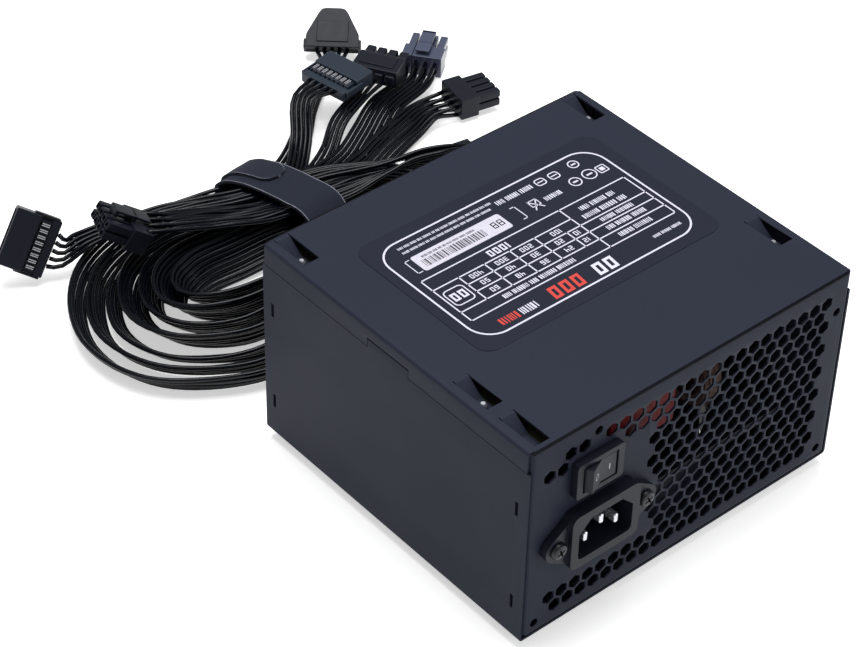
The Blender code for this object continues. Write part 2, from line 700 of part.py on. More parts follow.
def make_cover():
    """Fan plate and both sides, folded from one sheet, with a tongue a side for the top plate's notch."""
    head = TOP - FLANGE - GAP
    cover = folded(
        "cover",
        ((SIDE, head), (SIDE, BASE), (-SIDE, BASE), (-SIDE, head)),
        "Y",
        REAR + GAP,
        FRONT - GAP,
        POWDER_COAT,
    )
    for side in (-1, 1):
        inner, outer = sorted((side * SIDE, side * (SIDE - SHEET)))
        low = (inner, TONGUE_Y - TONGUE_WIDTH / 2, head - SHEET)
        high = (outer, TONGUE_Y + TONGUE_WIDTH / 2, head + TONGUE_RISE)
        join(cover, box(f"tongue_{'left' if side < 0 else 'right'}", low, high))
    cut(cover, rod("fan_opening", (0, 0, BASE - SHEET), "Z", 3 * SHEET, FAN_BORE / 2, 48))
    for x in (-1, 1):
        for y in (-1, 1):
            tag = f"{'l' if x < 0 else 'r'}{'r' if y < 0 else 'f'}"
            fan = (x * FAN_HOLES / 2, y * FAN_HOLES / 2, BASE - SHEET)
            cut(cover, rod(f"fan_screw_hole_{tag}", fan, "Z", 3 * SHEET, HOLE + HOLE_CLEARANCE, 10))
            corner = (x * COVER_SCREW_X, y * (FRONT - COVER_SCREW_INSET), BASE - SHEET)
            cut(cover, rod(f"cover_screw_hole_{tag}", corner, "Z", 3 * SHEET, HOLE, 10))
    for end in (-1, 1):
        for rise in HOOK_RISES:
            y = end * (FRONT - HOOK_INSET)
            low = (-SIDE - SHEET, y - HOOK_WIDTH / 2, BASE + rise - HOOK_HEIGHT / 2)
            high = (SIDE + SHEET, y + HOOK_WIDTH / 2, BASE + rise + HOOK_HEIGHT / 2)
            cut(cover, box(f"side_slots_{'r' if end < 0 else 'f'}{round(rise * 1000)}", low, high))
    return cover


def screw(name, place, length, finish, head_radius=SCREW_HEAD, head_height=SCREW_HEAD_HEIGHT, steps=8):
    """A pan-head screw pointing along local +Z, its head's underside at the origin."""
    shank = SCREW_SHANK / 2
    profile = (
        (0.0, length),
        (shank * 0.6, length),
        (shank, length - shank * 0.6),
        (shank, 0.0),
        (head_radius, 0.0),
        (head_radius * 0.85, -head_height),
        (0.0, -head_height),
    )
    return turned(name, profile, place, finish, steps)


def make_screws():
    """Cover, fan, board and inlet screws, each in the hole it belongs to."""
    for index, (x, y) in enumerate(((-1, -1), (1, -1), (-1, 1), (1, 1)), 1):
        at = (x * COVER_SCREW_X, y * (FRONT - COVER_SCREW_INSET), BASE - GAP)
        screw(f"cover_screw_{index}", Matrix.Translation(at), COVER_SCREW_LENGTH, BLACK_STEEL)
        at = (x * FAN_HOLES / 2, y * FAN_HOLES / 2, EYELET_Z - GUARD_WIRE / 2 - GAP)
        screw(f"fan_screw_{index}", Matrix.Translation(at), FAN_SCREW_LENGTH, BLACK_STEEL, FAN_SCREW_HEAD)
    tip = TOP - TAB_DROP + BOARD_SCREW_END
    under = BOARD_UNDER - GAP
    places = [(x, y + TAB_SCREW_Y) for x, y, screwed in WINDOWS if screwed]
    for index, (x, y) in enumerate(places, 1):
        screw(f"board_screw_{index}", Matrix.Translation((x, y, under)), tip - under, BRIGHT_STEEL)
    for index, side in enumerate((-1, 1), 1):
        ear = REAR - 2 * GAP - INLET_EAR_THICKNESS
        at = (INLET_X + side * INLET_SCREWS / 2, ear, BASE + INLET_RISE)
        place = Matrix.Translation(at) @ along("Y")
        head = (INLET_SCREW_HEAD, INLET_SCREW_HEAD_HEIGHT)
        screw(f"inlet_screw_{index}", place, INLET_SCREW_LENGTH, BLACK_STEEL, *head, 12)


def ring(name, centre, radius, wire, steps, sides=4, finish=None, place=Matrix.Identity(4)):
    """A closed ring of round wire about +Z."""
    angles = [-math.tau * i / sides for i in range(sides)]
    rim = [(radius + wire / 2 * math.cos(a), 0.0, wire / 2 * math.sin(a)) for a in angles]
    mesh = bpy.data.meshes.new(name)
    mesh.from_pydata(rim, [(i, (i + 1) % sides) for i in range(sides)], [])
    thing = add(name, mesh, finish, Matrix.Translation(centre) @ place)
    spin = thing.modifiers.new("turn", "SCREW")
    spin.steps = steps
    spin.render_steps = steps
    spin.use_merge_vertices = True
    spin.merge_threshold = 0.00001
    return thing


def make_guard():
    """Wire fan guard: rings under four legs, each leg running out to an eyelet round a fan screw."""
    step = (GUARD_OUTER_RING - GUARD_INNER_RING) / (GUARD_RINGS - 1)
    guard = ring("fan_guard", (0, 0, RING_Z), GUARD_OUTER_RING, GUARD_WIRE, 24, finish=BLACK_STEEL)
    for index in range(GUARD_RINGS - 1):
        radius = GUARD_INNER_RING + index * step
        join(guard, ring(f"guard_ring_{index + 1}", (0, 0, RING_Z), radius, GUARD_WIRE, 16))
    hole_reach = FAN_HOLES / math.sqrt(2)
    for index in range(4):
        turn = Matrix.Rotation(math.radians(45 + 90 * index), 4, "Z")
        line = (
            (GUARD_INNER_RING - GUARD_WIRE, LEG_Z),
            (GUARD_OUTER_RING + GUARD_LEG_BEND, LEG_Z),
            (GUARD_OUTER_RING + 2 * GUARD_LEG_BEND, EYELET_Z),
            (hole_reach - EYELET_RADIUS + GUARD_WIRE / 8, EYELET_Z),
        )
        points = [turn @ Vector((reach, 0.0, z)) for reach, z in line]
        join(guard, meshed(tube(f"guard_leg_{index + 1}", points, GUARD_WIRE / 2, None, 1), None))
        middle = turn @ Vector((hole_reach, 0.0, EYELET_Z))
        join(guard, ring(f"guard_eyelet_{index + 1}", middle, EYELET_RADIUS, GUARD_WIRE, 8))
    return guard


def make_fan_frame():
    """Square flanges joined by the duct, with the motor's base and stator on four inner struts."""
    steps = 40
    whole = 360 - 360 / steps
    circle, inside, duct = (
        arc((0, 0), FAN_BORE / 2 + share * FAN_WALL, 0, whole, steps - 1) for share in (0, 0.5, 1)
    )
    holes = []
    for x in (-1, 1):
        for y in (-1, 1):
            holes.append(arc((x * FAN_HOLES / 2, y * FAN_HOLES / 2), HOLE + HOLE_CLEARANCE / 2, 0, 324, 9))
    square = rounded_rectangle(FAN_SIZE, FAN_SIZE, FAN_CORNER, 3)
    middle = FAN_UNDER + FAN_DEPTH / 2
    frame = plate("fan_frame", [duct, circle], FAN_DEPTH - 0.0004, facing("Z", middle), BLACK_PLASTIC)
    for name, level in (("outer", FAN_UNDER + FAN_FLANGE / 2), ("inner", FAN_TOP - FAN_FLANGE / 2)):
        join(frame, plate(f"{name}_flange", [square, inside, *holes], FAN_FLANGE, facing("Z", level)))
    base_radius = FAN_HUB / 2
    stator = (
        (0.0, FAN_TOP),
        (base_radius, FAN_TOP),
        (base_radius, FAN_TOP - MOTOR_BASE),
        (HUB_BORE - BLADE_CLEARANCE, FAN_TOP - MOTOR_BASE),
        (HUB_BORE - BLADE_CLEARANCE, HUB_FLOOR + BLADE_CLEARANCE),
        (SHAFT + GAP, HUB_FLOOR + BLADE_CLEARANCE),
        (SHAFT + GAP, FAN_TOP - 2 * MOTOR_BASE),
        (0.0, FAN_TOP - 2 * MOTOR_BASE),
    )
    join(frame, turned("stator", stator, Matrix.Identity(4), None, 24))
    for index in range(4):
        turn = Matrix.Rotation(math.radians(20 + 90 * index), 4, "Z")
        low = (base_radius - 0.0015, -STRUT_WIDTH / 2, FAN_TOP - STRUT)
        high = (FAN_SIZE / 2 - FAN_WALL / 2, STRUT_WIDTH / 2, FAN_TOP - 0.0005)
        strut = box(f"strut_{index + 1}", low, high)
        strut.matrix_world = turn
        join(frame, strut)
    return frame


def make_rotor():
    """Hub cup on its shaft with curved, twisted blades; it turns about the fan's middle."""
    outer = HUB_BORE + HUB_WALL
    shaft_end = FAN_TOP - 2 * MOTOR_BASE - BLADE_CLEARANCE
    cup = (
        (0.0, shaft_end),
        (SHAFT, shaft_end),
        (SHAFT, HUB_FLOOR),
        (HUB_BORE, HUB_FLOOR),
        (HUB_BORE, HUB_TOP),
        (outer, HUB_TOP),
        (outer, HUB_BOTTOM + 0.0015),
        (outer - 0.0015, HUB_BOTTOM),
        (0.0, HUB_BOTTOM),
    )
    rotor = turned("fan_rotor", cup, Matrix.Identity(4), BLACK_PLASTIC, 24)
    inner, tip = outer - HUB_WALL / 2, FAN_BORE / 2 - BLADE_CLEARANCE
    low, high = HUB_BOTTOM + 0.0010, FAN_TOP - STRUT - 2 * BLADE_CLEARANCE
    for index in range(FAN_BLADES):
        bm = bmesh.new()
        bmesh.ops.create_grid(bm, x_segments=3, y_segments=2, size=0.5)
        for vert in bm.verts:
            out, chord = vert.co.x + 0.5, vert.co.y
            radius = inner + (tip - inner) * out
            sweep = math.radians(18) * out + math.radians(360 * index / FAN_BLADES)
            angle = sweep + chord * math.radians(44 - 6 * out)
            rise = (low + high) / 2 + chord * (high - low) * (0.96 - 0.25 * out)
            vert.co = (radius * math.cos(angle), radius * math.sin(angle), rise)
        blade = from_bmesh(f"blade_{index + 1}", bm, None)
        wall = blade.modifiers.new("thickness", "SOLIDIFY")
        wall.thickness = BLADE_THICKNESS
        wall.offset = 0.0
        join(rotor, blade)
    return rotor


# ---------------------------------------------------------------- circuit board and its parts
def make_board():
    """Circuit board hung under the tabs of the top plate, with its screw holes."""
    board = box(
        "main_board",
        (-BOARD_WIDTH / 2, -BOARD_DEPTH / 2, BOARD_UNDER),
        (BOARD_WIDTH / 2, BOARD_DEPTH / 2, BOARD_TOP),
        BOARD_GREEN,
    )
    for index, (x, y, screwed) in enumerate(WINDOWS, 1):
        if screwed:
            start = (x, y + TAB_SCREW_Y, BOARD_UNDER - SHEET)
            cut(board, rod(f"board_hole_{index}", start, "Z", 4 * SHEET, HOLE, 10))
    right = WINDOW_X - WINDOW_WIDTH / 2 - INSULATION_SIDE_ROOM
    head = Vector((right, BOARD_DEPTH / 2 - INSULATION_END_ROOM, TOP - SHEET - GAP))
    foot = Vector((-head.x, -head.y, head.z - INSULATION_THICKNESS))
    box("insulation_sheet", foot, head, FISH_PAPER)


def can(name, x, y, radius, height, finish=SLEEVE):
    """An electrolytic capacitor hanging under the board, with its rolled groove."""
    top = PART_TOP
    groove = top - 0.0030
    profile = (
        (0.0, top),
        (radius, top),
        (radius, groove),
        (radius * 0.93, groove - 0.0008),
        (radius, groove - 0.0016),
        (radius, top - height + 0.0006),
        (radius - 0.0006, top - height),
        (0.0, top - height),
    )
    return turned(name, profile, Matrix.Translation((x, y, 0)), finish, 14)


def heatsink(name, x, length):
    """An extruded heat sink: a web with short fins, standing along the board."""
    foot = PART_TOP - SINK_HEIGHT
    near, far = x - SINK_WEB / 2, x - SINK_REACH
    points = [(near, foot)]
    level = foot
    while level + SINK_FIN < PART_TOP - SINK_PITCH:
        points += [(far, level + SINK_FIN / 12), (far, level + SINK_FIN), (near, level + SINK_FIN)]
        level += SINK_PITCH
        points.append((near, level))
    points += [(near, PART_TOP), (x + SINK_WEB / 2, PART_TOP), (x + SINK_WEB / 2, foot)]
    return plate(name, [points], length, facing("Y", SINK_Y), ALUMINIUM)


def wound_core(name, x, y, width, depth, height):
    """A transformer: a ferrite frame round a wound and taped bobbin, on its pin base."""
    foot = PART_TOP - height
    half_w, half_d = width / 2, depth / 2
    winding, core = 0.72 * half_d, 0.84 * half_w
    yoke, leg, rim = 0.17 * depth, 0.145 * depth, 0.0008
    low, high = (x - half_w, y - winding, foot + 0.6 * yoke), (x + half_w, y + winding, PART_TOP - leg + rim)
    body = box(name, low, high, CORE_TAPE)
    join(body, box(f"{name}_frame", (x - core, y - half_d, foot), (x + core, y + half_d, foot + yoke)))
    for side in (-1, 1):
        inner, outer = sorted((y + side * (half_d - leg), y + side * half_d))
        low, high = (x - core, inner, foot), (x + core, outer, PART_TOP - leg / 2)
        join(body, box(f"{name}_leg_{'a' if side < 0 else 'b'}", low, high))
    low = (x - half_w - rim, y - half_d - rim, PART_TOP - leg)
    return join(body, box(f"{name}_base", low, (x + half_w + rim, y + half_d + rim, PART_TOP)))


def make_electronics():
    """What the board carries inside the housing."""
    left = SWITCH_X + SWITCH_BODY_WIDTH / 2 + 0.0010
    near = REAR + SHEET + 0.0040
    high = (left + RED_CASE_WIDTH, near + RED_CASE_DEPTH, PART_TOP)
    case = box("filter_capacitor", (left, near, PART_TOP - RED_CASE_HEIGHT), high, RED_CASE)
    edges = case.modifiers.new("moulded_edges", "BEVEL")
    edges.width = 0.0008
    edges.segments = 1
    choke_reach = CHOKE_RADIUS + CHOKE_THICKNESS / 2
    choke = (high[0] + 0.0180, near + choke_reach - 0.0025, PART_TOP - choke_reach - GAP)
    ring("filter_choke", choke, CHOKE_RADIUS, CHOKE_THICKNESS, 16, 8, COPPER, along("X"))
    can_x = BULK_CAN_INSET + BULK_CAN_RADIUS - BOARD_WIDTH / 2
    can_y = INLET_TAGS + MAINS_ROOM + BULK_CAN_RADIUS
    can("bulk_capacitor_1", can_x, can_y, BULK_CAN_RADIUS, BULK_CAN_HEIGHT)
    can_y += 2 * BULK_CAN_RADIUS + BULK_CAN_SPACING
    can("bulk_capacitor_2", can_x, can_y, BULK_CAN_RADIUS, BULK_CAN_HEIGHT)
    sink_x = can_x + BULK_CAN_RADIUS + CAN_TO_SINK + SINK_REACH
    heatsink("primary_heatsink", sink_x, PRIMARY_SINK_LENGTH)
    size = (TRANSFORMER_WIDTH, TRANSFORMER_DEPTH, TRANSFORMER_HEIGHT)
    wound_core("main_transformer", TRANSFORMER_X, TRANSFORMER_Y, *size)
    size = (STANDBY_WIDTH, STANDBY_WIDTH, STANDBY_HEIGHT)
    wound_core("standby_transformer", STANDBY_X, STANDBY_Y, *size)
    reach = OUTPUT_CHOKE_RADIUS + OUTPUT_CHOKE_THICKNESS / 2
    coil = (BOARD_WIDTH / 2 - OUTPUT_INSET - reach, OUTPUT_Y, PART_TOP - OUTPUT_CHOKE_THICKNESS / 2 - GAP)
    ring("output_choke", coil, OUTPUT_CHOKE_RADIUS, OUTPUT_CHOKE_THICKNESS, 16, 8, COPPER)
    sink_x = coil[0] - reach - OUTPUT_TO_SINK - SINK_WEB / 2
    heatsink("secondary_heatsink", sink_x, SECONDARY_SINK_LENGTH)
    can_y = coil[1] + reach + OUTPUT_SPACING + OUTPUT_CAN_RADIUS
    can("output_capacitor_1", coil[0], can_y, OUTPUT_CAN_RADIUS, OUTPUT_CAN_HEIGHT)
    can_y += 2 * OUTPUT_CAN_RADIUS + BULK_CAN_SPACING
    can("output_capacitor_2", coil[0], can_y, OUTPUT_CAN_RADIUS, OUTPUT_CAN_HEIGHT)
    height, tag = BASE + INLET_RISE, INLET_TAGS
    route = (
        (INLET_X, tag + GAP, height),
        (INLET_X, tag + 0.0015, height),
        (INLET_X - 0.0010, tag + 0.0035, height + 0.0020),
        (INLET_X - 0.0060, tag + 0.0050, height + 0.0120),
        (INLET_X - 0.0150, tag + 0.0040, PART_TOP - 0.0130),
        (INLET_X - 0.0165, tag + 0.0050, PART_TOP - GAP),
    )
    tube("mains_leads", [route[0], *smooth(route[1:], 9)], MAINS_LEAD / 2, SLEEVE, 1)
    rise = OUTLET_LEVEL
    margin = 2 * (GROMMET_WALL + LOOM_CLEARANCE)
    width, thickness = OUTLET_WIDTH - margin, OUTLET_HEIGHT - margin
    section = [rounded_rectangle(width, thickness, OUTLET_CORNER - LOOM_CLEARANCE, 3, (OUTLET_X, rise))]
    back, face = FRONT - LOOM_DEPTH, FRONT + LEAD_START - GAP
    loom = plate("output_loom", section, face - back, facing("Y", (back + face) / 2), LEAD_JACKET)
    low = (OUTLET_X - width / 2, back - 0.002, rise - thickness / 2 + 0.003)
    return join(loom, box("loom_rise", low, (OUTLET_X + width / 2, back + 0.007, PART_TOP - GAP)))


# ---------------------------------------------------------------- mains inlet and switch
def make_inlet():
    """Mains inlet: lozenge flange with two screw ears, raised boss, three-pin socket and rear body."""
    x, z = INLET_X, BASE + INLET_RISE
    half, reach = INLET_SCREWS / 2, INLET_EAR
    flat = INLET_BOSS_HEIGHT / 2 - 0.0006
    outline = [(0.62 * half, flat), (-0.62 * half, flat)]
    outline += arc((-half, 0), reach, 120, 240, 6)
    outline += [(-0.62 * half, -flat), (0.62 * half, -flat)]
    outline += arc((half, 0), reach, -60, 60, 6)
    outline = [(x + a, z + b) for a, b in outline]
    back = REAR - GAP
    flange = facing("Y", back - INLET_EAR_THICKNESS / 2)
    body = plate("inlet_body", [outline], INLET_EAR_THICKNESS, flange, BLACK_PLASTIC)
    for side in (-1, 1):
        start = (x + side * half, back - 2 * INLET_EAR_THICKNESS, z)
        cut(body, rod(f"ear_hole_{'l' if side < 0 else 'r'}", start, "Y", 3 * INLET_EAR_THICKNESS, HOLE, 10))
    boss = rounded_rectangle(INLET_BOSS_WIDTH, INLET_BOSS_HEIGHT, 0.0030, 3, (x, z))
    middle = facing("Y", back - INLET_BOSS_THICKNESS / 2)
    join(body, plate("inlet_boss", [boss], INLET_BOSS_THICKNESS, middle))
    shell = rounded_rectangle(INLET_BODY_WIDTH, INLET_BODY_HEIGHT, 0.0015, 1, (x, z))
    length = INLET_BODY_DEPTH + 0.0020
    join(body, plate("inlet_shell", [shell], length, facing("Y", back - 0.0015 + length / 2)))
    width, height, corner = SOCKET_WIDTH / 2, SOCKET_HEIGHT / 2, SOCKET_CORNER
    socket = [(x + width, z + height - corner), (x + width - corner, z + height)]
    socket += [(x - width + corner, z + height), (x - width, z + height - corner)]
    socket += arc((x - width + 0.0020, z - height + 0.0020), 0.0020, 180, 270, 3)
    socket += arc((x + width - 0.0020, z - height + 0.0020), 0.0020, 270, 360, 3)
    mouth = back - INLET_BOSS_THICKNESS
    depth = 2 * SOCKET_DEPTH
    cut(body, plate("socket", [socket], depth, facing("Y", mouth)))
    floor = mouth + SOCKET_DEPTH
    line = (PIN_SPREAD, -LINE_DROP)
    for name, across, rise in (("live", *line), ("neutral", -line[0], line[1]), ("earth", 0.0, EARTH_RISE)):
        a, b = x + across, z + rise
        low = (a - PIN_THICKNESS / 2, mouth + 0.0020, b - PIN_WIDTH / 2)
        high = (a + PIN_THICKNESS / 2, INLET_TAGS, b + PIN_WIDTH / 2)
        pin = box(f"inlet_pin_{name}", low, high, BRIGHT_STEEL)
        tip = pin.modifiers.new("rounded_tip", "BEVEL")
        tip.width = 0.0005
        tip.segments = 1
        slot_low = (low[0] - GAP, floor - 0.0010, low[2] - GAP)
        cut(body, box(f"slot_{name}", slot_low, (high[0] + GAP, high[1], high[2] + GAP)))
    return body


def make_switch():
    """Rocker switch: bezel and body with a pocket, and the V-shaped rocker rolling in it."""
    x, z = SWITCH_X, BASE + SWITCH_RISE
    back = REAR - GAP
    bezel = rounded_rectangle(BEZEL_WIDTH, BEZEL_HEIGHT, 0.0012, 2, (x, z))
    bezel_place = facing("Y", back - BEZEL_THICKNESS / 2)
    body = plate("switch_body", [bezel], BEZEL_THICKNESS, bezel_place, BLACK_PLASTIC)
    shell = rounded_rectangle(SWITCH_BODY_WIDTH, SWITCH_BODY_HEIGHT, 0.0010, 1, (x, z))
    length = SWITCH_BODY_DEPTH + 0.0020
    join(body, plate("switch_shell", [shell], length, facing("Y", back - 0.0015 + length / 2)))
    pivot = REAR - ROCKER_PIVOT
    pocket = ROCKER_RADIUS + GAP
    floor = pivot + 0.0064
    low = (x - pocket, back - BEZEL_THICKNESS - 0.0010, z - ROCKER_HEIGHT / 2 - GAP)
    cut(body, box("rocker_pocket", low, (x + pocket, floor, z + ROCKER_HEIGHT / 2 + GAP)))
    corner = math.degrees(math.asin(ROCKER_FACE / ROCKER_RADIUS))
    face = [(0.0, -0.0021)]
    face += [(a, -b) for a, b in arc((0, 0), ROCKER_RADIUS, corner, -35, 6)]
    face += [(a, -b) for a, b in arc((0, 0), ROCKER_RADIUS, 215, 180 - corner, 6)]
    turn = Matrix.Rotation(math.radians(ROCKER_TURN), 4, "Z")
    place = Matrix.Translation((x, pivot, z)) @ turn
    plate("switch_rocker", [face], ROCKER_HEIGHT, place, BLACK_PLASTIC)
    return body


def make_grommet():
    """Moulded grommet of the cable outlet, with a lip on each side of the panel."""
    middle = (OUTLET_X, OUTLET_LEVEL)
    width, height = OUTLET_WIDTH - 2 * GAP, OUTLET_HEIGHT - 2 * GAP
    wall = GROMMET_WALL
    bore = rounded_rectangle(width - 2 * wall, height - 2 * wall, OUTLET_CORNER - wall, 3, middle)
    sleeve = rounded_rectangle(width, height, OUTLET_CORNER, 3, middle)
    reach = GROMMET_LIP
    lip = rounded_rectangle(width + 2 * reach, height + 2 * reach, OUTLET_CORNER + reach, 3, middle)
    outer, inner = FRONT + GAP, FRONT - SHEET - GAP
    depth = GROMMET_LIP_DEPTH
    back, face = inner - depth, outer + depth
    between = facing("Y", (face + back) / 2)
    grommet = plate("cable_grommet", [sleeve, bore], face - back, between, BLACK_PLASTIC)
    join(grommet, plate("outer_lip", [lip, bore], depth, facing("Y", outer + depth / 2)))
    return join(grommet, plate("inner_lip", [lip, bore], depth, facing("Y", inner - depth / 2)))


def make_label():
    outline = rounded_rectangle(LABEL_WIDTH, LABEL_DEPTH, LABEL_CORNER, 4, (LABEL_X, LABEL_Y))
    level = TOP + LABEL_GLUE + LABEL_THICKNESS / 2
    return plate("rating_label", [outline], LABEL_THICKNESS, facing("Z", level), LABEL_FILM)


# ---------------------------------------------------------------- leads
# Flat leads lie in lanes side by side: each leaves the outlet on edge, runs down to the table, turns back in
# a loop and passes under the strap. All of x and y are counted from the outlet's middle on the front panel.
# Stations: x, y, height of the middle, heading and lean in degrees, lane pitch.
DESCENT = (
    (0.0050, LEAD_START, OUTLET_LEVEL, 90, 90, 0.0025),
    (0.0050, 0.0100, OUTLET_LEVEL, 90, 90, 0.0025),
    (0.0030, 0.0230, 0.0440, 105, 90, 0.0026),
    (-0.0060, 0.0360, 0.0340, 135, 90, 0.0028),
    (-0.0210, 0.0450, 0.0240, 158, 90, 0.0030),
    (-0.0390, 0.0500, 0.0160, 170, 90, 0.0034),
)
# On the table: x, y, height of the lower edge, heading and lean in degrees, lane pitch.
LOOP = (
    (-0.0570, 0.0530, 0.0008, 175, 88, 0.0042),
    (-0.0730, 0.0545, 0.0008, 175, 85, 0.0052),
    (-0.0890, 0.0570, 0.0008, 160, 82, 0.0060),
    (-0.1010, 0.0650, 0.0008, 120, 80, 0.0062),
    (-0.1040, 0.0750, 0.0008, 85, 78, 0.0060),
    (-0.0980, 0.0850, 0.0008, 40, 72, 0.0058),
    (-0.0850, 0.0900, 0.0008, 10, 60, 0.0060),
    (-0.0660, 0.0870, 0.0008, -5, 45, 0.0060),
    (-0.0480, 0.0820, 0.0024, -2, 36, 0.0062),
    (-0.0304, 0.0792, 0.0024, 8, 32, 0.0062),
    (-0.0110, 0.0830, 0.0022, 12, 32, 0.0060),
)
# Past the strap every lead goes its own way: x, y, height of the lower edge, lean in degrees.
LOOPED_LEADS = (
    ("mainboard_lead_a", 10, ((0.0070, 0.0735, 0.0008, 25), (0.0170, 0.0585, 0.0010, 10))),
    ("mainboard_lead_b", 10, ((0.0090, 0.0870, 0.0006, 28), (0.0210, 0.0804, 0.0010, 12))),
    (
        "graphics_lead_1",
        8,
        ((0.0110, 0.0990, 0.0006, 28), (0.0290, 0.1060, 0.0010, 22), (0.0450, 0.1115, 0.0014, 16)),
    ),
    (
        "graphics_lead_2",
        8,
        ((0.0090, 0.1065, 0.0006, 30), (0.0270, 0.1165, 0.0010, 25), (0.0470, 0.1285, 0.0040, 6)),
    ),
    ("peripheral_lead", 4, ((0.0040, 0.1150, 0.0045, 28), (0.0190, 0.1255, 0.0095, 15))),
    ("drive_lead_2", 5, ((-0.0010, 0.1260, 0.0070, 20),)),
    (
        "drive_lead_3",
        5,
        ((0.0040, 0.1330, 0.0010, 30), (0.0210, 0.1500, 0.0012, 20), (0.0390, 0.1640, 0.0014, 6)),
    ),
)
# The two leads that lie over the bundle: x, y, height of the middle, lean in degrees.
CPU_LEAD = (
    (0.0075, LEAD_START, OUTLET_LEVEL, 90),
    (0.0075, 0.0100, OUTLET_LEVEL, 90),
    (0.0090, 0.0200, 0.0455, 90),
    (0.0150, 0.0310, 0.0400, 90),
    (0.0230, 0.0400, 0.0330, 88),
    (0.0290, 0.0510, 0.0270, 85),
    (0.0280, 0.0630, 0.0225, 75),
    (0.0180, 0.0730, 0.0205, 55),
    (0.0030, 0.0795, 0.0180, 30),
    (-0.0140, 0.0830, 0.0165, 12),
    (-0.0310, 0.0870, 0.0162, 5),
    (-0.0510, 0.0905, 0.0175, 5),
    (-0.0710, 0.0970, 0.0205, 5),
)
DRIVE_LEAD_1 = (
    (0.0100, LEAD_START, OUTLET_LEVEL, 90),
    (0.0100, 0.0100, OUTLET_LEVEL, 90),
    (0.0120, 0.0190, 0.0455, 90),
    (0.0190, 0.0290, 0.0405, 90),
    (0.0280, 0.0385, 0.0340, 90),
    (0.0350, 0.0505, 0.0280, 90),
    (0.0340, 0.0645, 0.0235, 75),
    (0.0230, 0.0770, 0.0205, 55),
    (0.0070, 0.0850, 0.0180, 30),
    (-0.0110, 0.0965, 0.0158, 12),
    (-0.0280, 0.1018, 0.0148, 5),
    (-0.0490, 0.1065, 0.0150, 5),
    (-0.0710, 0.1135, 0.0160, 8),
    (-0.0890, 0.1195, 0.0152, 5),
    (-0.1030, 0.1225, 0.0140, -5),
    (-0.1135, 0.1237, 0.0130, -20),
)


def lying(x, y, lower_edge, lean, wires):
    """A point of a lead's middle from the height of its lower edge."""
    lean = math.radians(lean)
    z = lower_edge + wires * WIRE / 2 * abs(math.sin(lean)) + WIRE / 2 * math.cos(lean)
    return (OUTLET_X + x, FRONT + y, z, lean)


def hanging(x, y, z, lean):
    """A point of a lead's middle from its own height."""
    return (OUTLET_X + x, FRONT + y, z, math.radians(lean))


def looped_route(lane, wires, tail):
    """The lane's points down from the outlet and round the loop, then its own tail."""
    route = []
    for stations, on_table in ((DESCENT, False), (LOOP, True)):
        for x, y, z, heading, lean, pitch in stations:
            heading = math.radians(heading)
            x -= lane * pitch * math.sin(heading)
            y += lane * pitch * math.cos(heading)
            route.append(lying(x, y, z, lean, wires) if on_table else hanging(x, y, z, lean))
    return route + [lying(*point, wires) for point in tail]


def ribbon(name, route, wires, plug, offset=0.0, approach=0.0120):
    """A flat lead through its route, ending face to face with the back of its plug."""
    place, length, lean = plug
    for back in (length / 2 + GAP + approach, length / 2 + GAP):
        route = [*route, (*(place @ Vector((-back, offset, 0.0))), math.radians(lean))]
    points = [Vector(route[0]), *smooth(route[1:-1], 32), Vector(route[-1])]
    section = bpy.data.curves.new(f"{name}_section", "CURVE")
    section.dimensions = "2D"
    section.fill_mode = "NONE"
    corners = ((-1, -1), (-1, 1), (1, 1), (1, -1))
    outline = section.splines.new("POLY")
    outline.points.add(3)
    for point, (across, up) in zip(outline.points, corners):
        point.co = (across * wires * WIRE / 2, up * WIRE / 2, 0.0, 1.0)
    outline.use_cyclic_u = True
    curve = bpy.data.curves.new(name, "CURVE")
    curve.dimensions = "3D"
    curve.twist_mode = "Z_UP"
    curve.bevel_mode = "OBJECT"
    curve.bevel_object = add(f"{name}_section", section, None, into=tools)
    curve.bevel_object.hide_render = True
    curve.use_fill_caps = True
    spline = curve.splines.new("POLY")
    spline.points.add(len(points) - 1)
    for point, spot in zip(spline.points, points):
        point.co = (*spot.xyz, 1.0)
        point.tilt = spot.w
    return add(name, curve, LEAD_JACKET)


# ---------------------------------------------------------------- plugs
def lying_plug(x, y, z, heading, climb=0.0, roll=0.0):
    """A plug's place: local +X is its mating direction and local +Z the side of its latch."""
    turn = Matrix.Rotation(math.radians(heading), 4, "Z") @ Matrix.Rotation(math.radians(-climb), 4, "Y")
    placed = Matrix.Translation((OUTLET_X + x, FRONT + y, z))
    return placed @ turn @ Matrix.Rotation(math.radians(roll), 4, "X")


def contact_grid(name, columns, length, side, middle):
    """Square bars, one for each contact of a two-row plug."""
    bm = bmesh.new()
    scale = Matrix.Diagonal((length, side, side, 1.0))
    for row in (-0.5, 0.5):
        for column in range(columns):
            at = (middle, (column - (columns - 1) / 2) * PLUG_ROW, row * PLUG_ROW)
            bmesh.ops.create_cube(bm, size=1.0, matrix=Matrix.Translation(at) @ scale)
    return from_bmesh(name, bm, None)


def settle(plug, place):
    """Moves a plug, with the tools that shape it, from the origin to its place."""
    for thing in (plug, *(step.object for step in plug.modifiers)):
        thing.matrix_world = place @ thing.matrix_world


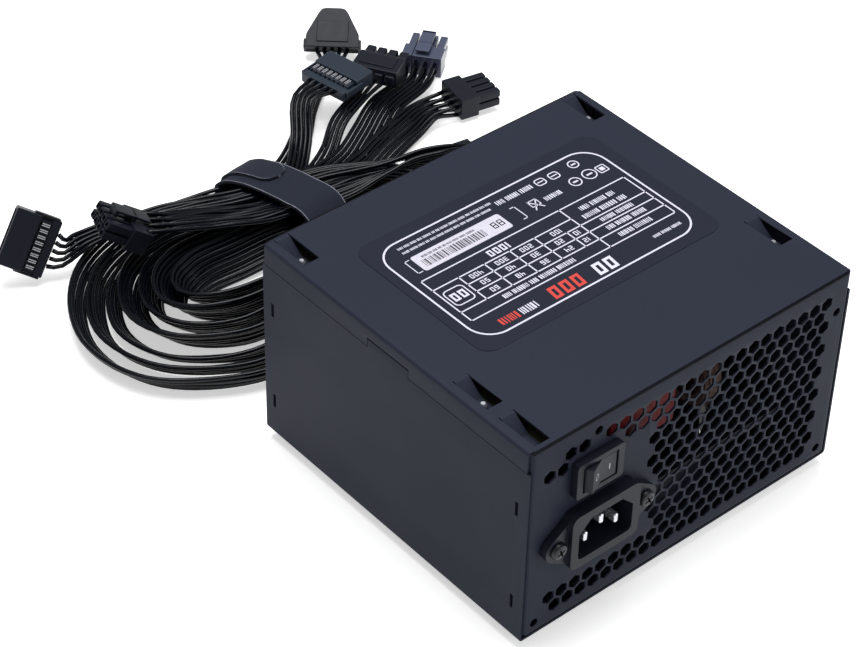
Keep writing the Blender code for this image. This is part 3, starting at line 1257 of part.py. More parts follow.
def power_plug(name, place, columns):
    """Two-row power plug with square contact barrels and a latch lever on its upper side."""
    rim = 0.0006
    width = columns * PLUG_ROW + 2 * rim
    half, high = PLUG_LENGTH / 2, PLUG_HEIGHT / 2
    plug = box(name, (-half, -width / 2, -high), (half - BARREL_LENGTH, width / 2, high), BLACK_PLASTIC)
    length = BARREL_LENGTH + 0.0020
    join(plug, contact_grid(f"{name}_barrels", columns, length, PLUG_ROW - BARREL_GAP, half - length / 2))
    tips, inset = half - 0.0020, 0.0010
    web = width / 2 - 0.0008
    join(plug, box(f"{name}_web", (0.0, -web, -inset), (tips, web, inset)))
    for end in (-1, 1):
        low = (half - BARREL_LENGTH - 0.0015, end * PLUG_ROW / 2 - rim, inset - high)
        high_corner = (tips, end * PLUG_ROW / 2 + rim, high - inset)
        join(plug, box(f"{name}_key_{'a' if end < 0 else 'b'}", low, high_corner))
    cut(plug, contact_grid(f"{name}_sockets", columns, 2 * 0.0060, CONTACT_HOLE, half))
    root, nose, sunk = inset - half, half - 0.0040, high - 0.0005
    latch = ((root, sunk), (nose, sunk), (nose, high + LATCH_RISE / 2))
    latch += ((nose - LATCH_RISE / 2, high + LATCH_RISE), (root, high + LATCH_RISE))
    join(plug, plate(f"{name}_latch", [latch], LATCH_WIDTH, facing("Y", 0.0)))
    settle(plug, place)
    return place, PLUG_LENGTH, 0.0


def drive_plug(name, place, lean=0.0):
    """Flat fifteen-contact drive plug: slotted blade housing with a thicker wire cap behind it."""
    half, length = DRIVE_PLUG_WIDTH / 2, DRIVE_PLUG_LENGTH
    cap, blade, step = DRIVE_CAP_THICKNESS / 2, DRIVE_PLUG_THICKNESS / 2, 0.0002
    low, high = (-length / 2, -half, -cap), (DRIVE_CAP_LENGTH - length / 2, half, cap)
    plug = box(name, low, high, BLACK_PLASTIC)
    low, high = (0.001 - length / 2, step - half, -blade), (length / 2, half - step, blade)
    join(plug, box(f"{name}_housing", low, high))
    end, tongue, key = half - 0.0018, 0.0008, 0.0014
    slot = ((-end, -tongue), (end, -tongue), (end, 0.0020), (end - key, 0.0020))
    slot += ((end - key, tongue), (-end, tongue))
    cut(plug, plate(f"{name}_slot", [slot], 2 * 0.0080, facing("X", length / 2)))
    settle(plug, place)
    return place, length, lean


def peripheral_plug(name, place):
    """Four-contact peripheral plug with two chamfered corners and round sockets."""
    half, high, length = PERIPHERAL_PLUG_WIDTH / 2, PERIPHERAL_PLUG_HEIGHT / 2, PERIPHERAL_PLUG_LENGTH
    slant = 0.0022
    outline = ((-half, -high), (half, -high), (half, high - slant), (half - slant, high))
    outline += ((slant - half, high), (-half, high - slant))
    plug = plate(name, [outline], length, facing("X", 0.0), BLACK_PLASTIC)
    for index in range(4):
        start = (length / 2 - 0.0080, (index - 1.5) * PERIPHERAL_PITCH, 0.0)
        cut(plug, rod(f"{name}_socket_{index + 1}", start, "X", 0.0100, PERIPHERAL_SOCKET / 2, 8))
    settle(plug, place)
    return place, length, 0.0


def make_leads():
    """All leads with their plugs."""
    half = PLUG_HEIGHT / 2
    main = power_plug("mainboard_plug", lying_plug(0.0510, 0.0580, half + 0.0002, -10), 12)
    graphics_1 = power_plug("graphics_plug_1", lying_plug(0.0800, 0.1105, half + 0.0002, -11), 4)
    graphics_2 = power_plug("graphics_plug_2", lying_plug(0.0860, 0.1480, half + 0.0002, 37), 4)
    peripheral = peripheral_plug("peripheral_plug", lying_plug(0.0570, 0.1445, 0.0130, 30))
    drive_2 = drive_plug("drive_plug_2", lying_plug(0.0320, 0.1430, 0.0192, 10))
    drive_3 = drive_plug("drive_plug_3", lying_plug(0.0610, 0.1820, 0.0060, 48))
    cpu = power_plug("cpu_plug", lying_plug(-0.1060, 0.1080, 0.0240, 160), 4)
    drive_1 = drive_plug("drive_plug_1", lying_plug(-0.1315, 0.1318, 0.0170, 142, 26, -62), -62)
    plugs = (main, main, graphics_1, graphics_2, peripheral, drive_2, drive_3)
    offset = PLUG_ROW * 2.5
    offsets = (-offset, offset, 0.0, 0.0, 0.0, 0.0, 0.0)
    for lane, ((name, wires, tail), plug, across) in enumerate(zip(LOOPED_LEADS, plugs, offsets)):
        ribbon(name, looped_route(lane, wires, tail), wires, plug, across)
    free = (("cpu_lead", CPU_LEAD, 8, cpu, 0.0080), ("drive_lead_1", DRIVE_LEAD_1, 5, drive_1, 0.0040))
    for name, route, wires, plug, approach in free:
        ribbon(name, [hanging(*point) for point in route], wires, plug, 0.0, approach)


# Middle line of the strap across the bundle: distance to the left of the bundle's way, height.
STRAP_LINE = (
    (-0.0270, 0.0013),
    (-0.0308, 0.0042),
    (-0.0312, 0.0090),
    (-0.0278, 0.0152),
    (-0.0212, 0.0205),
    (-0.0090, 0.0206),
    (0.0020, 0.0196),
    (0.0120, 0.0178),
    (0.0218, 0.0140),
    (0.0278, 0.0084),
    (0.0274, 0.0042),
    (0.0220, 0.0013),
    (-0.0020, 0.0013),
)


def make_strap():
    """Cloth strap drawn round the bundle: its line is read twice round so that the seam closes smoothly."""
    around = [(0.0, across, height) for across, height in STRAP_LINE]
    steps = 28
    twice = smooth([*around, *around, around[0]], 2 * steps + 1)
    line = twice[steps // 2 : steps // 2 + steps]
    bm = bmesh.new()
    half = STRAP_WIDTH / 2
    rows = [[bm.verts.new((side * half, point.y, point.z)) for point in line] for side in (-1, 1)]
    for i in range(steps):
        after = (i + 1) % steps
        bm.faces.new((rows[0][i], rows[0][after], rows[1][after], rows[1][i]))
    middle = Matrix.Translation((OUTLET_X - 0.0330, FRONT + 0.0980, 0.0))
    place = middle @ Matrix.Rotation(math.radians(8), 4, "Z")
    strap = from_bmesh("cable_strap", bm, STRAP_CLOTH, place)
    wall = strap.modifiers.new("cloth", "SOLIDIFY")
    wall.thickness = STRAP_THICKNESS
    wall.offset = 0.0
    return strap


make_chassis()
make_cover()
make_screws()
make_guard()
make_fan_frame()
make_rotor()
make_board()
make_electronics()
make_inlet()
make_switch()
make_grommet()
make_label()
make_leads()
make_strap()

# The pieces are drawn about the housing's middle; the origin is the middle of the whole unit's footprint.
to_footprint = Matrix.Translation((0, (REAR_REACH - FRONT_REACH) / 2, 0))
for piece in (*parts.objects, *tools.objects):
    piece.matrix_world = to_footprint @ piece.matrix_world
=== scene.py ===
import math
import random

import bmesh
import bpy
from mathutils import Matrix, Vector, noise


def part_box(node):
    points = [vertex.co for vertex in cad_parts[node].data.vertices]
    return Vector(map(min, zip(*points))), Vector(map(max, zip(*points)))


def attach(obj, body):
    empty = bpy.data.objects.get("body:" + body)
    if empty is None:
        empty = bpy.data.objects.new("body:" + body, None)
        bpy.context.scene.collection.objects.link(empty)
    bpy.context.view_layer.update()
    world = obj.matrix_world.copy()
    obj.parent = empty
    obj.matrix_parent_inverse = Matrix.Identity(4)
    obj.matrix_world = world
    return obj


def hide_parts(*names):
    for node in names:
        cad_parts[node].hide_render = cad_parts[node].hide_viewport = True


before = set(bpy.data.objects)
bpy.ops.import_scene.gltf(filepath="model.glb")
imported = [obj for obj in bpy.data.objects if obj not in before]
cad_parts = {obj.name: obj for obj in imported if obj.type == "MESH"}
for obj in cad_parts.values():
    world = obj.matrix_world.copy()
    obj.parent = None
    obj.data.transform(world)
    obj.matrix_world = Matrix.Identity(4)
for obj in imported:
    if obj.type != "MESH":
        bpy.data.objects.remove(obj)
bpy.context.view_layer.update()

# ---------------------------------------------------------------- view, floor and light
# The unit stands on its fan side on a white table and is seen from above its rear left corner. Three soft
# boxes and an even white world light it.
steel_low, steel_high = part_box("chassis")
housing_y = (steel_low[1] + steel_high[1]) / 2  # the housing's middle; the footprint's middle is the origin
housing_top = 0.090


def add_object(name, data):
    made = bpy.data.objects.new(name, data)
    bpy.context.scene.collection.objects.link(made)
    return made


camera_data = bpy.data.cameras.new("camera")
camera_data.sensor_width = 36.0
camera_data.lens = 109.19355
camera_data.clip_end = 20.0
camera = add_object("camera", camera_data)
bpy.context.scene.camera = camera
azimuth, elevation, roll = math.radians(-41.195), math.radians(40.029), math.radians(1.478)
looks_along = Vector((
    math.sin(-azimuth) * math.cos(elevation),
    math.cos(azimuth) * math.cos(elevation),
    -math.sin(elevation),
))
looks_at = Vector((-0.02099, 0.04290 + housing_y, 0.04257))
camera_distance = 0.9435
stands_at = Matrix.Translation(looks_at - looks_along * camera_distance)
aim = looks_along.to_track_quat("-Z", "Y").to_matrix().to_4x4()
camera.matrix_world = stands_at @ aim @ Matrix.Rotation(roll, 4, "Z")


def area_light(name, place, target, size, power):
    data = bpy.data.lights.new(name, "AREA")
    data.shape = "RECTANGLE"
    data.size, data.size_y = size
    data.energy = power
    towards = (Vector(target) - Vector(place)).to_track_quat("-Z", "Y")
    add_object(name, data).matrix_world = Matrix.Translation(place) @ towards.to_matrix().to_4x4()


area_light("overhead_softbox", (0.10, 0.25, 1.30), (0.0, 0.05, 0.0), (0.9, 0.9), 19.0)
area_light("left_softbox", (-1.10, -0.30, 0.55), (0.0, 0.05, 0.05), (0.9, 0.7), 0.8)
area_light("right_softbox", (0.70, -1.10, 0.60), (0.0, 0.0, 0.05), (0.8, 0.6), 4.5)

world = bpy.data.worlds.new("studio")
bpy.context.scene.world = world
world.use_nodes = True
backdrop = world.node_tree.nodes["Background"].inputs
backdrop["Color"].default_value = (1.0, 1.0, 1.0, 1.0)
backdrop["Strength"].default_value = 0.35
bpy.context.scene.view_settings.view_transform = "Standard"


class Value:
    """A shader socket with arithmetic: an expression on values adds its Math nodes."""

    def __init__(self, tree, socket):
        self.tree, self.socket = tree, socket

    def math(self, operation, *others):
        return self.node("ShaderNodeMath", {"operation": operation}, {0: self, **dict(enumerate(others, 1))})

    def node(self, kind, settings, sockets, output=0):
        made = self.tree.nodes.new(kind)
        for key, value in settings.items():
            setattr(made, key, value)
        for key, value in sockets.items():
            if isinstance(value, Value):
                self.tree.links.new(value.socket, made.inputs[key])
            else:
                made.inputs[key].default_value = value
        return Value(self.tree, made.outputs[output])

    def __add__(self, other):
        return self.math("ADD", other)

    def __mul__(self, other):
        return self.math("MULTIPLY", other)

    def __sub__(self, other):
        return self.math("SUBTRACT", other)

    def __gt__(self, other):
        return self.math("GREATER_THAN", other)


def finish(name, colour, roughness, metallic=0.0, **sockets):
    """A Principled material with its even values."""
    made = bpy.data.materials.new(name)
    made.use_nodes = True
    even = {"Base_Color": (*colour, 1.0), "Roughness": roughness, "Metallic": metallic, **sockets}
    for key, value in even.items():
        made.node_tree.nodes["Principled BSDF"].inputs[key.replace("_", " ")].default_value = value
    return made


def object_place(material):
    """The object's own coordinates, which a material's patterns are drawn on."""
    tree = material.node_tree
    return Value(tree, tree.nodes.new("ShaderNodeTexCoord").outputs["Object"])


def feed(material, socket, value):
    value.tree.links.new(value.socket, material.node_tree.nodes["Principled BSDF"].inputs[socket])


def bump(material, height, distance, strength):
    sockets = {"Height": height, "Distance": distance, "Strength": strength}
    feed(material, "Normal", height.node("ShaderNodeBump", {}, sockets))


def speckle(place, scale, detail=2.0, roughness=0.5):
    sockets = {"Vector": place, "Scale": scale, "Detail": detail, "Roughness": roughness}
    return place.node("ShaderNodeTexNoise", {}, sockets)


def blend_colours(mask, first, second):
    sockets = {0: mask, 6: (*first, 1.0), 7: (*second, 1.0)}
    return mask.node("ShaderNodeMix", {"data_type": "RGBA"}, sockets, 2)


def worn(material, scale, span, least, detail=2.0):
    """Roughness that wanders between its least and the least plus the span."""
    feed(material, "Roughness", speckle(object_place(material), scale, detail) * span + least)


def grained(material, scale, distance, strength):
    """Fine unevenness all over the surface."""
    bump(material, speckle(object_place(material), scale), distance, strength)


floor_mesh = bpy.data.meshes.new("table_top")
floor_bm = bmesh.new()
bmesh.ops.create_grid(floor_bm, x_segments=1, y_segments=1, size=6.0)
floor_bm.to_mesh(floor_mesh)
floor_bm.free()
floor = add_object("table_top", floor_mesh)
floor.location.z = -0.0002
floor_paint = finish("white_table", (0.86, 0.86, 0.86), 0.9)
floor_tree = floor_paint.node_tree
rays = floor_tree.nodes.new("ShaderNodeLightPath")
seen = Value(floor_tree, rays.outputs["Is Camera Ray"])
for ray in ("Is Glossy Ray", "Is Transmission Ray"):
    seen = seen.math("MAXIMUM", Value(floor_tree, rays.outputs[ray]))
paint = Value(floor_tree, floor_tree.nodes["Principled BSDF"].outputs[0])
glow = paint.node("ShaderNodeEmission", {}, {"Strength": 0.50})  # it shows, but lights nothing
both = paint.node("ShaderNodeAddShader", {}, {0: paint, 1: glow})
mixed = paint.node("ShaderNodeMixShader", {}, {0: seen, 1: paint, 2: both})
floor_tree.links.new(mixed.socket, floor_tree.nodes["Material Output"].inputs["Surface"])
floor_mesh.materials.append(floor_paint)

# ---------------------------------------------------------------- flat leads
# Black PVC wires of 1.9 mm laid side by side as ribbons. Seven leads leave the outlet on edge, run down to
# the table, turn back in one loop and pass under the strap; two more lie over the bundle. The wires of a
# ribbon cling together along most of its way and part a little before the plug.
wire = 0.0019
table_height = 0.0001
outlet = (0.041, 0.070 + housing_y)  # middle of the cable outlet in the front panel
# ways in millimetres from the outlet and in degrees: x, y, height of the middle, heading, lean, lane pitch
descent = (
    (5.0, 2.2, 48.0, 90, 90, 2.5),
    (5.0, 10.0, 48.0, 90, 90, 2.5),
    (3.0, 23.0, 44.0, 105, 90, 2.6),
    (-6.0, 36.0, 34.0, 135, 90, 2.8),
    (-21.0, 45.0, 24.0, 158, 90, 3.0),
    (-39.0, 50.0, 16.0, 170, 90, 3.4),
)
# x, y, height of the lower edge, heading, lean, lane pitch
loop = (
    (-57.0, 53.0, 0.8, 175, 84, 4.2),
    (-73.0, 54.5, 0.8, 175, 74, 5.2),
    (-89.0, 57.0, 0.8, 160, 62, 6.0),
    (-101.0, 65.0, 0.8, 120, 52, 6.2),
    (-104.0, 75.0, 0.8, 85, 47, 6.0),
    (-98.0, 85.0, 0.8, 40, 46, 5.8),
    (-85.0, 90.0, 0.8, 10, 44, 6.0),
    (-66.0, 87.0, 0.8, -5, 41, 6.0),
    (-48.0, 82.0, 2.4, -2, 36, 6.2),
    (-30.4, 79.2, 2.4, 8, 32, 6.2),
    (-11.0, 83.0, 2.2, 12, 32, 6.0),
)
loop_slack = (0.0, 0.35, 0.7, 1.0, 1.0, 1.0, 0.9, 0.5, 0.0, 0.0, 0.0)  # how far the lanes spread inwards
# wires, lane, plug, offset across it, own way past the strap: x, y, height of the lower edge, lean
looped_leads = {
    "mainboard_lead_a": (10, 0, "mainboard_plug", -10.5, ((7.0, 73.5, 0.8, 25), (17.0, 58.5, 1.0, 10))),
    "mainboard_lead_b": (10, 1, "mainboard_plug", 10.5, ((9.0, 87.0, 0.6, 28), (21.0, 80.4, 1.0, 12))),
    "graphics_lead_1": (
        8, 2, "graphics_plug_1", 0.0,
        ((11.0, 99.0, 0.6, 28), (29.0, 106.0, 1.0, 22), (45.0, 111.5, 1.4, 16)),
    ),
    "graphics_lead_2": (
        8, 3, "graphics_plug_2", 0.0,
        ((9.0, 106.5, 0.6, 30), (27.0, 116.5, 1.0, 25), (47.0, 128.5, 4.0, 6)),
    ),
    "peripheral_lead": (4, 4, "peripheral_plug", 0.0, ((4.0, 115.0, 4.5, 28), (19.0, 125.5, 9.5, 15))),
    "drive_lead_2": (5, 5, "drive_plug_2", 0.0, ((-1.0, 126.0, 7.0, 20),)),
    "drive_lead_3": (
        5, 6, "drive_plug_3", 0.0,
        ((4.0, 133.0, 1.0, 30), (21.0, 150.0, 1.2, 20), (39.0, 164.0, 1.4, 6)),
    ),
}
# x, y, height of the middle, lean
cpu_way = (
    (7.5, 2.2, 48.0, 90),
    (7.5, 10.0, 48.0, 90),
    (9.0, 20.0, 45.5, 90),
    (15.0, 31.0, 40.0, 90),
    (23.0, 40.0, 33.0, 88),
    (29.0, 51.0, 27.0, 85),
    (28.0, 63.0, 22.5, 75),
    (18.0, 73.0, 20.5, 55),
    (3.0, 79.5, 18.0, 30),
    (-14.0, 83.0, 16.5, 12),
    (-31.0, 87.0, 16.2, 5),
    (-51.0, 90.5, 17.5, 5),
    (-71.0, 97.0, 20.5, 5),
)
drive_way = (
    (10.0, 2.2, 48.0, 90),
    (10.0, 10.0, 48.0, 90),
    (12.0, 19.0, 45.5, 90),
    (19.0, 29.0, 40.5, 90),
    (28.0, 38.5, 34.0, 90),
    (35.0, 50.5, 28.0, 90),
    (34.0, 64.5, 23.5, 75),
    (23.0, 77.0, 20.5, 55),
    (7.0, 85.0, 18.0, 30),
    (-11.0, 96.5, 15.8, 12),
    (-28.0, 101.8, 14.8, 5),
    (-49.0, 106.5, 15.0, 5),
    (-71.0, 113.5, 16.0, 8),
    (-89.0, 119.5, 15.2, 5),
    (-103.0, 122.5, 14.0, -5),
    (-113.5, 123.7, 13.0, -20),
)


def turned(degrees, axis):
    return Matrix.Rotation(math.radians(degrees), 4, axis)


def lying_plug(x, y, z, heading, climb=0.0, roll=0.0):
    """A plug's place: local +X is the mating direction, local +Z the latch side."""
    lies_at = Matrix.Translation((outlet[0] + x / 1000, outlet[1] + y / 1000, z / 1000))
    return lies_at @ turned(heading, "Z") @ turned(-climb, "Y") @ turned(roll, "X")


# place, length in metres, lean of the lead at the plug's back, rows and pitch in metres of the contacts
plugs = {
    "mainboard_plug": (lying_plug(51.0, 58.0, 5.2, -10), 0.020, 0, 2, 0.0042),
    "graphics_plug_1": (lying_plug(80.0, 110.5, 5.2, -11), 0.020, 0, 2, 0.0042),
    "graphics_plug_2": (lying_plug(86.0, 148.0, 5.2, 37), 0.020, 0, 2, 0.0042),
    "peripheral_plug": (lying_plug(57.0, 144.5, 13.0, 30), 0.022, 0, 1, 0.0038),
    "drive_plug_2": (lying_plug(32.0, 143.0, 19.2, 10), 0.019, 0, 1, 0.0034),
    "drive_plug_3": (lying_plug(61.0, 182.0, 6.0, 48), 0.019, 0, 1, 0.0034),
    "cpu_plug": (lying_plug(-106.0, 108.0, 24.0, 160), 0.020, 0, 2, 0.0042),
    "drive_plug_1": (lying_plug(-131.5, 131.8, 17.0, 142, 26, -62), 0.019, -62, 1, 0.0034),
}


def hanging(x, y, z, lean):
    return (outlet[0] + x / 1000, outlet[1] + y / 1000, z / 1000, math.radians(lean))


def lying(x, y, lower_edge, lean, wires):
    x, y, z, lean = hanging(x, y, lower_edge, lean)
    return (x, y, z + wires * wire / 2 * abs(math.sin(lean)) + wire / 2 * math.cos(lean), lean)


def smooth(route, samples):
    """Points read evenly from a curve through the route's own points (centripetal Catmull-Rom)."""
    route = [Vector(point) for point in route]
    route = [2 * route[0] - route[1], *route, 2 * route[-1] - route[-2]]
    fine = []
    steps = 16
    for a, b, c, d in zip(route, route[1:], route[2:], route[3:]):
        t1 = (b - a).xyz.length ** 0.5
        t2 = t1 + (c - b).xyz.length ** 0.5
        t3 = t2 + (d - c).xyz.length ** 0.5
        for i in range(steps):
            t = t1 + (t2 - t1) * i / steps
            ab = a + (b - a) * (t / t1)
            bc = b + (c - b) * ((t - t1) / (t2 - t1))
            cd = c + (d - c) * ((t - t2) / (t3 - t2))
            abc = ab + (bc - ab) * (t / t2)
            bcd = bc + (cd - bc) * ((t - t1) / (t3 - t1))
            fine.append(abc + (bcd - abc) * ((t - t1) / (t2 - t1)))
    fine.append(route[-2])
    lengths = [0.0]
    for a, b in zip(fine, fine[1:]):
        lengths.append(lengths[-1] + (b - a).xyz.length)
    read = []
    spot = 0
    for i in range(samples):
        goal = lengths[-1] * i / (samples - 1)
        while spot < len(fine) - 2 and lengths[spot + 1] < goal:
            spot += 1
        share = (goal - lengths[spot]) / (lengths[spot + 1] - lengths[spot])
        read.append(fine[spot].lerp(fine[spot + 1], share))
    return read


def looped_way(lane, wires, tail):
    """A looped lead's middle line; lane 0 is innermost, and the lanes spread where the loop is open."""
    spread, inwards = 0.25, 1.3
    way = []
    for stations, on_table in ((descent, False), (loop, True)):
        for station, (x, y, z, heading, lean, pitch) in enumerate(stations):
            slack = loop_slack[station] if on_table else 0.0
            beside = lane * (1.0 + spread * slack) - inwards * slack
            x -= beside * pitch * math.sin(math.radians(heading))
            y += beside * pitch * math.cos(math.radians(heading))
            way.append(lying(x, y, z, lean, wires) if on_table else hanging(x, y, z, lean))
    return way + [lying(*point, wires) for point in tail]


lead_jacket = finish("black_lead_jacket", (0.0014, 0.0021, 0.0042), 0.2, Specular_IOR_Level=0.22)
worn(lead_jacket, 180.0, 0.16, 0.12, 3.0)
grained(lead_jacket, 900.0, 0.00004, 0.5)


def baked(thing):
    """The mesh that a curve or a modifier makes."""
    bpy.context.view_layer.update()
    return bpy.data.meshes.new_from_object(thing.evaluated_get(bpy.context.evaluated_depsgraph_get()))


def neighbours(points, index, closed=False):
    """The points before and after one; at an open end, the point itself."""
    before = points[index - 1] if closed or index else points[index]
    after = points[(index + 1) % len(points)] if closed or index < len(points) - 1 else points[index]
    return before, after


def flat_lead(name, wires, way, plug, offset, approach):
    """One ribbon: its wires are tubes beside its middle line that part at the plug's contacts."""
    samples, fan_length, wandering = 96, 0.014, 50
    drift_reach, drift_pace, tilt_reach, tilt_pace, slackness = 0.0009, 0.13, 0.16, 0.10, 0.01
    place, plug_length, lean, rows, pitch = plugs[plug]
    plug_back = plug_length / 2 + 0.0003
    for back in (plug_back + approach, plug_back):
        way = [*way, (*(place @ Vector((-back, offset, 0.0))), math.radians(lean))]
    middle = [Vector(way[0]), *smooth(way[1:], samples)]
    last = len(middle) - 1
    wander = random.Random(name)
    curve = bpy.data.curves.new(name, "CURVE")
    curve.dimensions = "3D"
    curve.bevel_depth = wire / 2
    curve.bevel_resolution = 2
    curve.use_fill_caps = True
    sway = Vector((wander.uniform(0, wandering), wander.uniform(0, wandering), 0.0))
    for index in range(wires):
        spline = curve.splines.new("POLY")
        spline.points.add(last)
        seed = Vector((wander.uniform(0, wandering), wander.uniform(0, wandering), index * 3.1))
        column, row = index // rows, index % rows
        at_plug = (column - (wires / rows - 1) / 2) * pitch
        over_plug = (row - (rows - 1) / 2) * pitch
        for step, (point, here) in enumerate(zip(spline.points, middle)):
            before, after = neighbours(middle, step)
            heading = (after - before).xyz
            left = Vector((-heading.y, heading.x, 0.0)).normalized()
            free = min(1.0, 6.0 * min(step, last - step) / len(middle))  # nothing moves at the two ends
            tilt = here.w + tilt_reach * free * noise.noise(sway + Vector((step * tilt_pace, 0, 0)))
            across = left * math.cos(tilt) + Vector((0, 0, 1)) * math.sin(tilt)
            over = heading.normalized().cross(across).normalized()
            drift = noise.noise(seed + Vector((step * drift_pace, 0, 0))) * drift_reach * free
            fan = max(0.0, 1.0 - (middle[-1] - here).xyz.length / fan_length) ** 1.5
            beside = (index - (wires - 1) / 2) * wire * (1.0 + slackness * free)
            in_ribbon = here.xyz + across * beside + over * drift
            at_contact = here.xyz + place.to_3x3() @ Vector((0.0, at_plug, over_plug))
            spot = in_ribbon.lerp(at_contact, fan)
            spot.z = max(spot.z, wire / 2 + table_height)
            point.co = (*spot, 1.0)
    ribbon = add_object(name + "_wires", curve)
    mesh = baked(ribbon)
    bpy.data.objects.remove(ribbon)
    wires_bm = bmesh.new()
    wires_bm.from_mesh(mesh)
    bmesh.ops.remove_doubles(wires_bm, verts=wires_bm.verts, dist=0.000001)
    wires_bm.to_mesh(mesh)
    wires_bm.free()
    mesh.materials.clear()
    mesh.materials.append(lead_jacket)
    mesh.shade_smooth()
    piece = add_object(name + "_wires", mesh)
    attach(piece, "housing")
    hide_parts(name)


for lead_name, (wires, lane, plug, offset, tail) in looped_leads.items():
    flat_lead(lead_name, wires, looped_way(lane, wires, tail), plug, offset / 1000, 0.0120)
for lead_name, wires, way, plug, approach in (
    ("cpu_lead", 8, cpu_way, "cpu_plug", 0.0080),
    ("drive_lead_1", 5, drive_way, "drive_plug_1", 0.0040),
):
    flat_lead(lead_name, wires, [hanging(*point) for point in way], plug, 0.0, approach)

# ---------------------------------------------------------------- strap
# A 20 mm strap of grey hook-and-loop cloth drawn round the bundle. Its rounded end lies over the outer side,
# and its cut edges are a little paler.
strap_width, strap_cloth_thickness = 0.020, 0.0012
# distance to the left of the bundle's way, height
strap_line = (
    (-0.0270, 0.0013),
    (-0.0308, 0.0042),
    (-0.0312, 0.0090),
    (-0.0278, 0.0152),
    (-0.0212, 0.0205),
    (-0.0090, 0.0206),
    (0.0020, 0.0196),
    (0.0120, 0.0178),
    (0.0218, 0.0140),
    (0.0278, 0.0084),
    (0.0274, 0.0042),
    (0.0220, 0.0013),
    (-0.0020, 0.0013),
)
strap_place = Matrix.Translation((outlet[0] - 0.0330, outlet[1] + 0.0980, 0.0)) @ turned(8, "Z")

strap_cloth = finish("grey_strap_cloth", (0.014, 0.0175, 0.030), 0.85, Specular_IOR_Level=0.2)
cloth_place = object_place(strap_cloth)
weave_sockets = {"Vector": cloth_place, "Scale": 900.0}
weave = cloth_place.node("ShaderNodeTexWave", {"bands_direction": "DIAGONAL"}, weave_sockets)
bump(strap_cloth, weave + speckle(cloth_place, 1400.0), 0.00010, 0.6)
edge_cloth = finish("pale_strap_edge", (0.12, 0.13, 0.16), 0.9)
edge_speckle = speckle(object_place(edge_cloth), 420.0)
feed(edge_cloth, "Base Color", blend_colours(edge_speckle, (0.02, 0.024, 0.038), (0.30, 0.31, 0.36)))
grained(edge_cloth, 1500.0, 0.00010, 0.6)


def made_piece(name, bm, finishes, nodes=(), body="housing", smooth_angle=35.0):
    """A finished piece from a bmesh, riding on its body and standing for its CAD nodes."""
    mesh = bpy.data.meshes.new(name)
    bm.to_mesh(mesh)
    bm.free()
    for material in finishes:
        mesh.materials.append(material)
    mesh.shade_smooth()
    mesh.set_sharp_from_angle(angle=math.radians(smooth_angle))
    piece = add_object(name, mesh)
    flat_faces_lead = piece.modifiers.new("flat_faces_lead", "WEIGHTED_NORMAL")
    flat_faces_lead.keep_sharp = True
    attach(piece, body)
    if nodes:
        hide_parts(*nodes)


def face_outwards(bm):
    bmesh.ops.recalc_face_normals(bm, faces=bm.faces)


def band(bm, rows, thickness, place, closed):
    """A cloth band through rows of (along, across, outward) samples: each row runs over the band's width."""
    layers = []
    for lift in (-thickness / 2, thickness / 2):
        layers.append([[bm.verts.new(place @ (spot + out * lift)) for spot, out in row] for row in rows])
    count = len(rows) if closed else len(rows) - 1
    wide = len(rows[0])
    for i in range(count):
        a, b = i, (i + 1) % len(rows)
        for j in range(wide - 1):
            for layer, flip in ((layers[0], True), (layers[1], False)):
                corners = [layer[a][j], layer[a][j + 1], layer[b][j + 1], layer[b][j]]
                strip = bm.faces.new(corners[::-1] if flip else corners)
                strip.material_index = 1 if j in (0, wide - 2) else 0
        for j in (0, wide - 1):
            corners = [layers[0][a][j], layers[0][b][j], layers[1][b][j], layers[1][a][j]]
            bm.faces.new(corners).material_index = 0
    if not closed:
        for i in (0, len(rows) - 1):
            for j in range(wide - 1):
                corners = [layers[0][i][j], layers[0][i][j + 1], layers[1][i][j + 1], layers[1][i][j]]
                bm.faces.new(corners).material_index = 1


def strap_rows(line, outward_lift, closed, half_width):
    rows = []
    for index, point in enumerate(line):
        before, after = neighbours(line, index, closed)
        along = Vector((0.0, after.y - before.y, after.z - before.z)).normalized()
        out = Vector((0.0, -along.z, along.y))
        centre = Vector((0.0, point.y, point.z)) + out * outward_lift
        half = half_width(index)
        row = []
        for share in (-1.0, -0.96, -0.6, 0.0, 0.6, 0.96, 1.0):
            sag = 0.0002 * noise.noise(Vector((share * 2.0, index * 0.3, outward_lift * 900)))
            row.append((centre + Vector((share * half, 0.0, 0.0)) + out * sag, out))
        rows.append(row)
    return rows


around = [(0.0, across, height) for across, height in strap_line]
strap_steps = 96
twice = smooth([*around, *around, around[0]], 2 * strap_steps + 1)
strap_loop = twice[strap_steps // 2 : strap_steps // 2 + strap_steps]
turn_sum = sum(a.y * b.z - b.y * a.z for a, b in zip(strap_loop, strap_loop[1:]))
if turn_sum > 0:
    strap_loop.reverse()
strap_bm = bmesh.new()
loop_rows = strap_rows(strap_loop, 0.0, True, lambda i: strap_width / 2)
band(strap_bm, loop_rows, strap_cloth_thickness, strap_place, True)
tab_root = Vector((0.0, 0.0290, 0.0110))
root_step = min(range(strap_steps), key=lambda i: (strap_loop[i] - tab_root).length)
tab_line = [strap_loop[(root_step - i) % strap_steps] for i in range(-4, 20)]
tab_round, tab_tip, tab_lift, tab_thickness = 0.0065, 0.0006, -0.00135, 0.0011


def tab_half_width(index):
    """The tab is narrower than the strap and ends in a half circle."""
    left = sum((b - a).length for a, b in zip(tab_line[index:], tab_line[index + 1:]))
    if left >= tab_round:
        return tab_round
    return max(tab_tip, math.sqrt(tab_round ** 2 - (tab_round - left) ** 2))


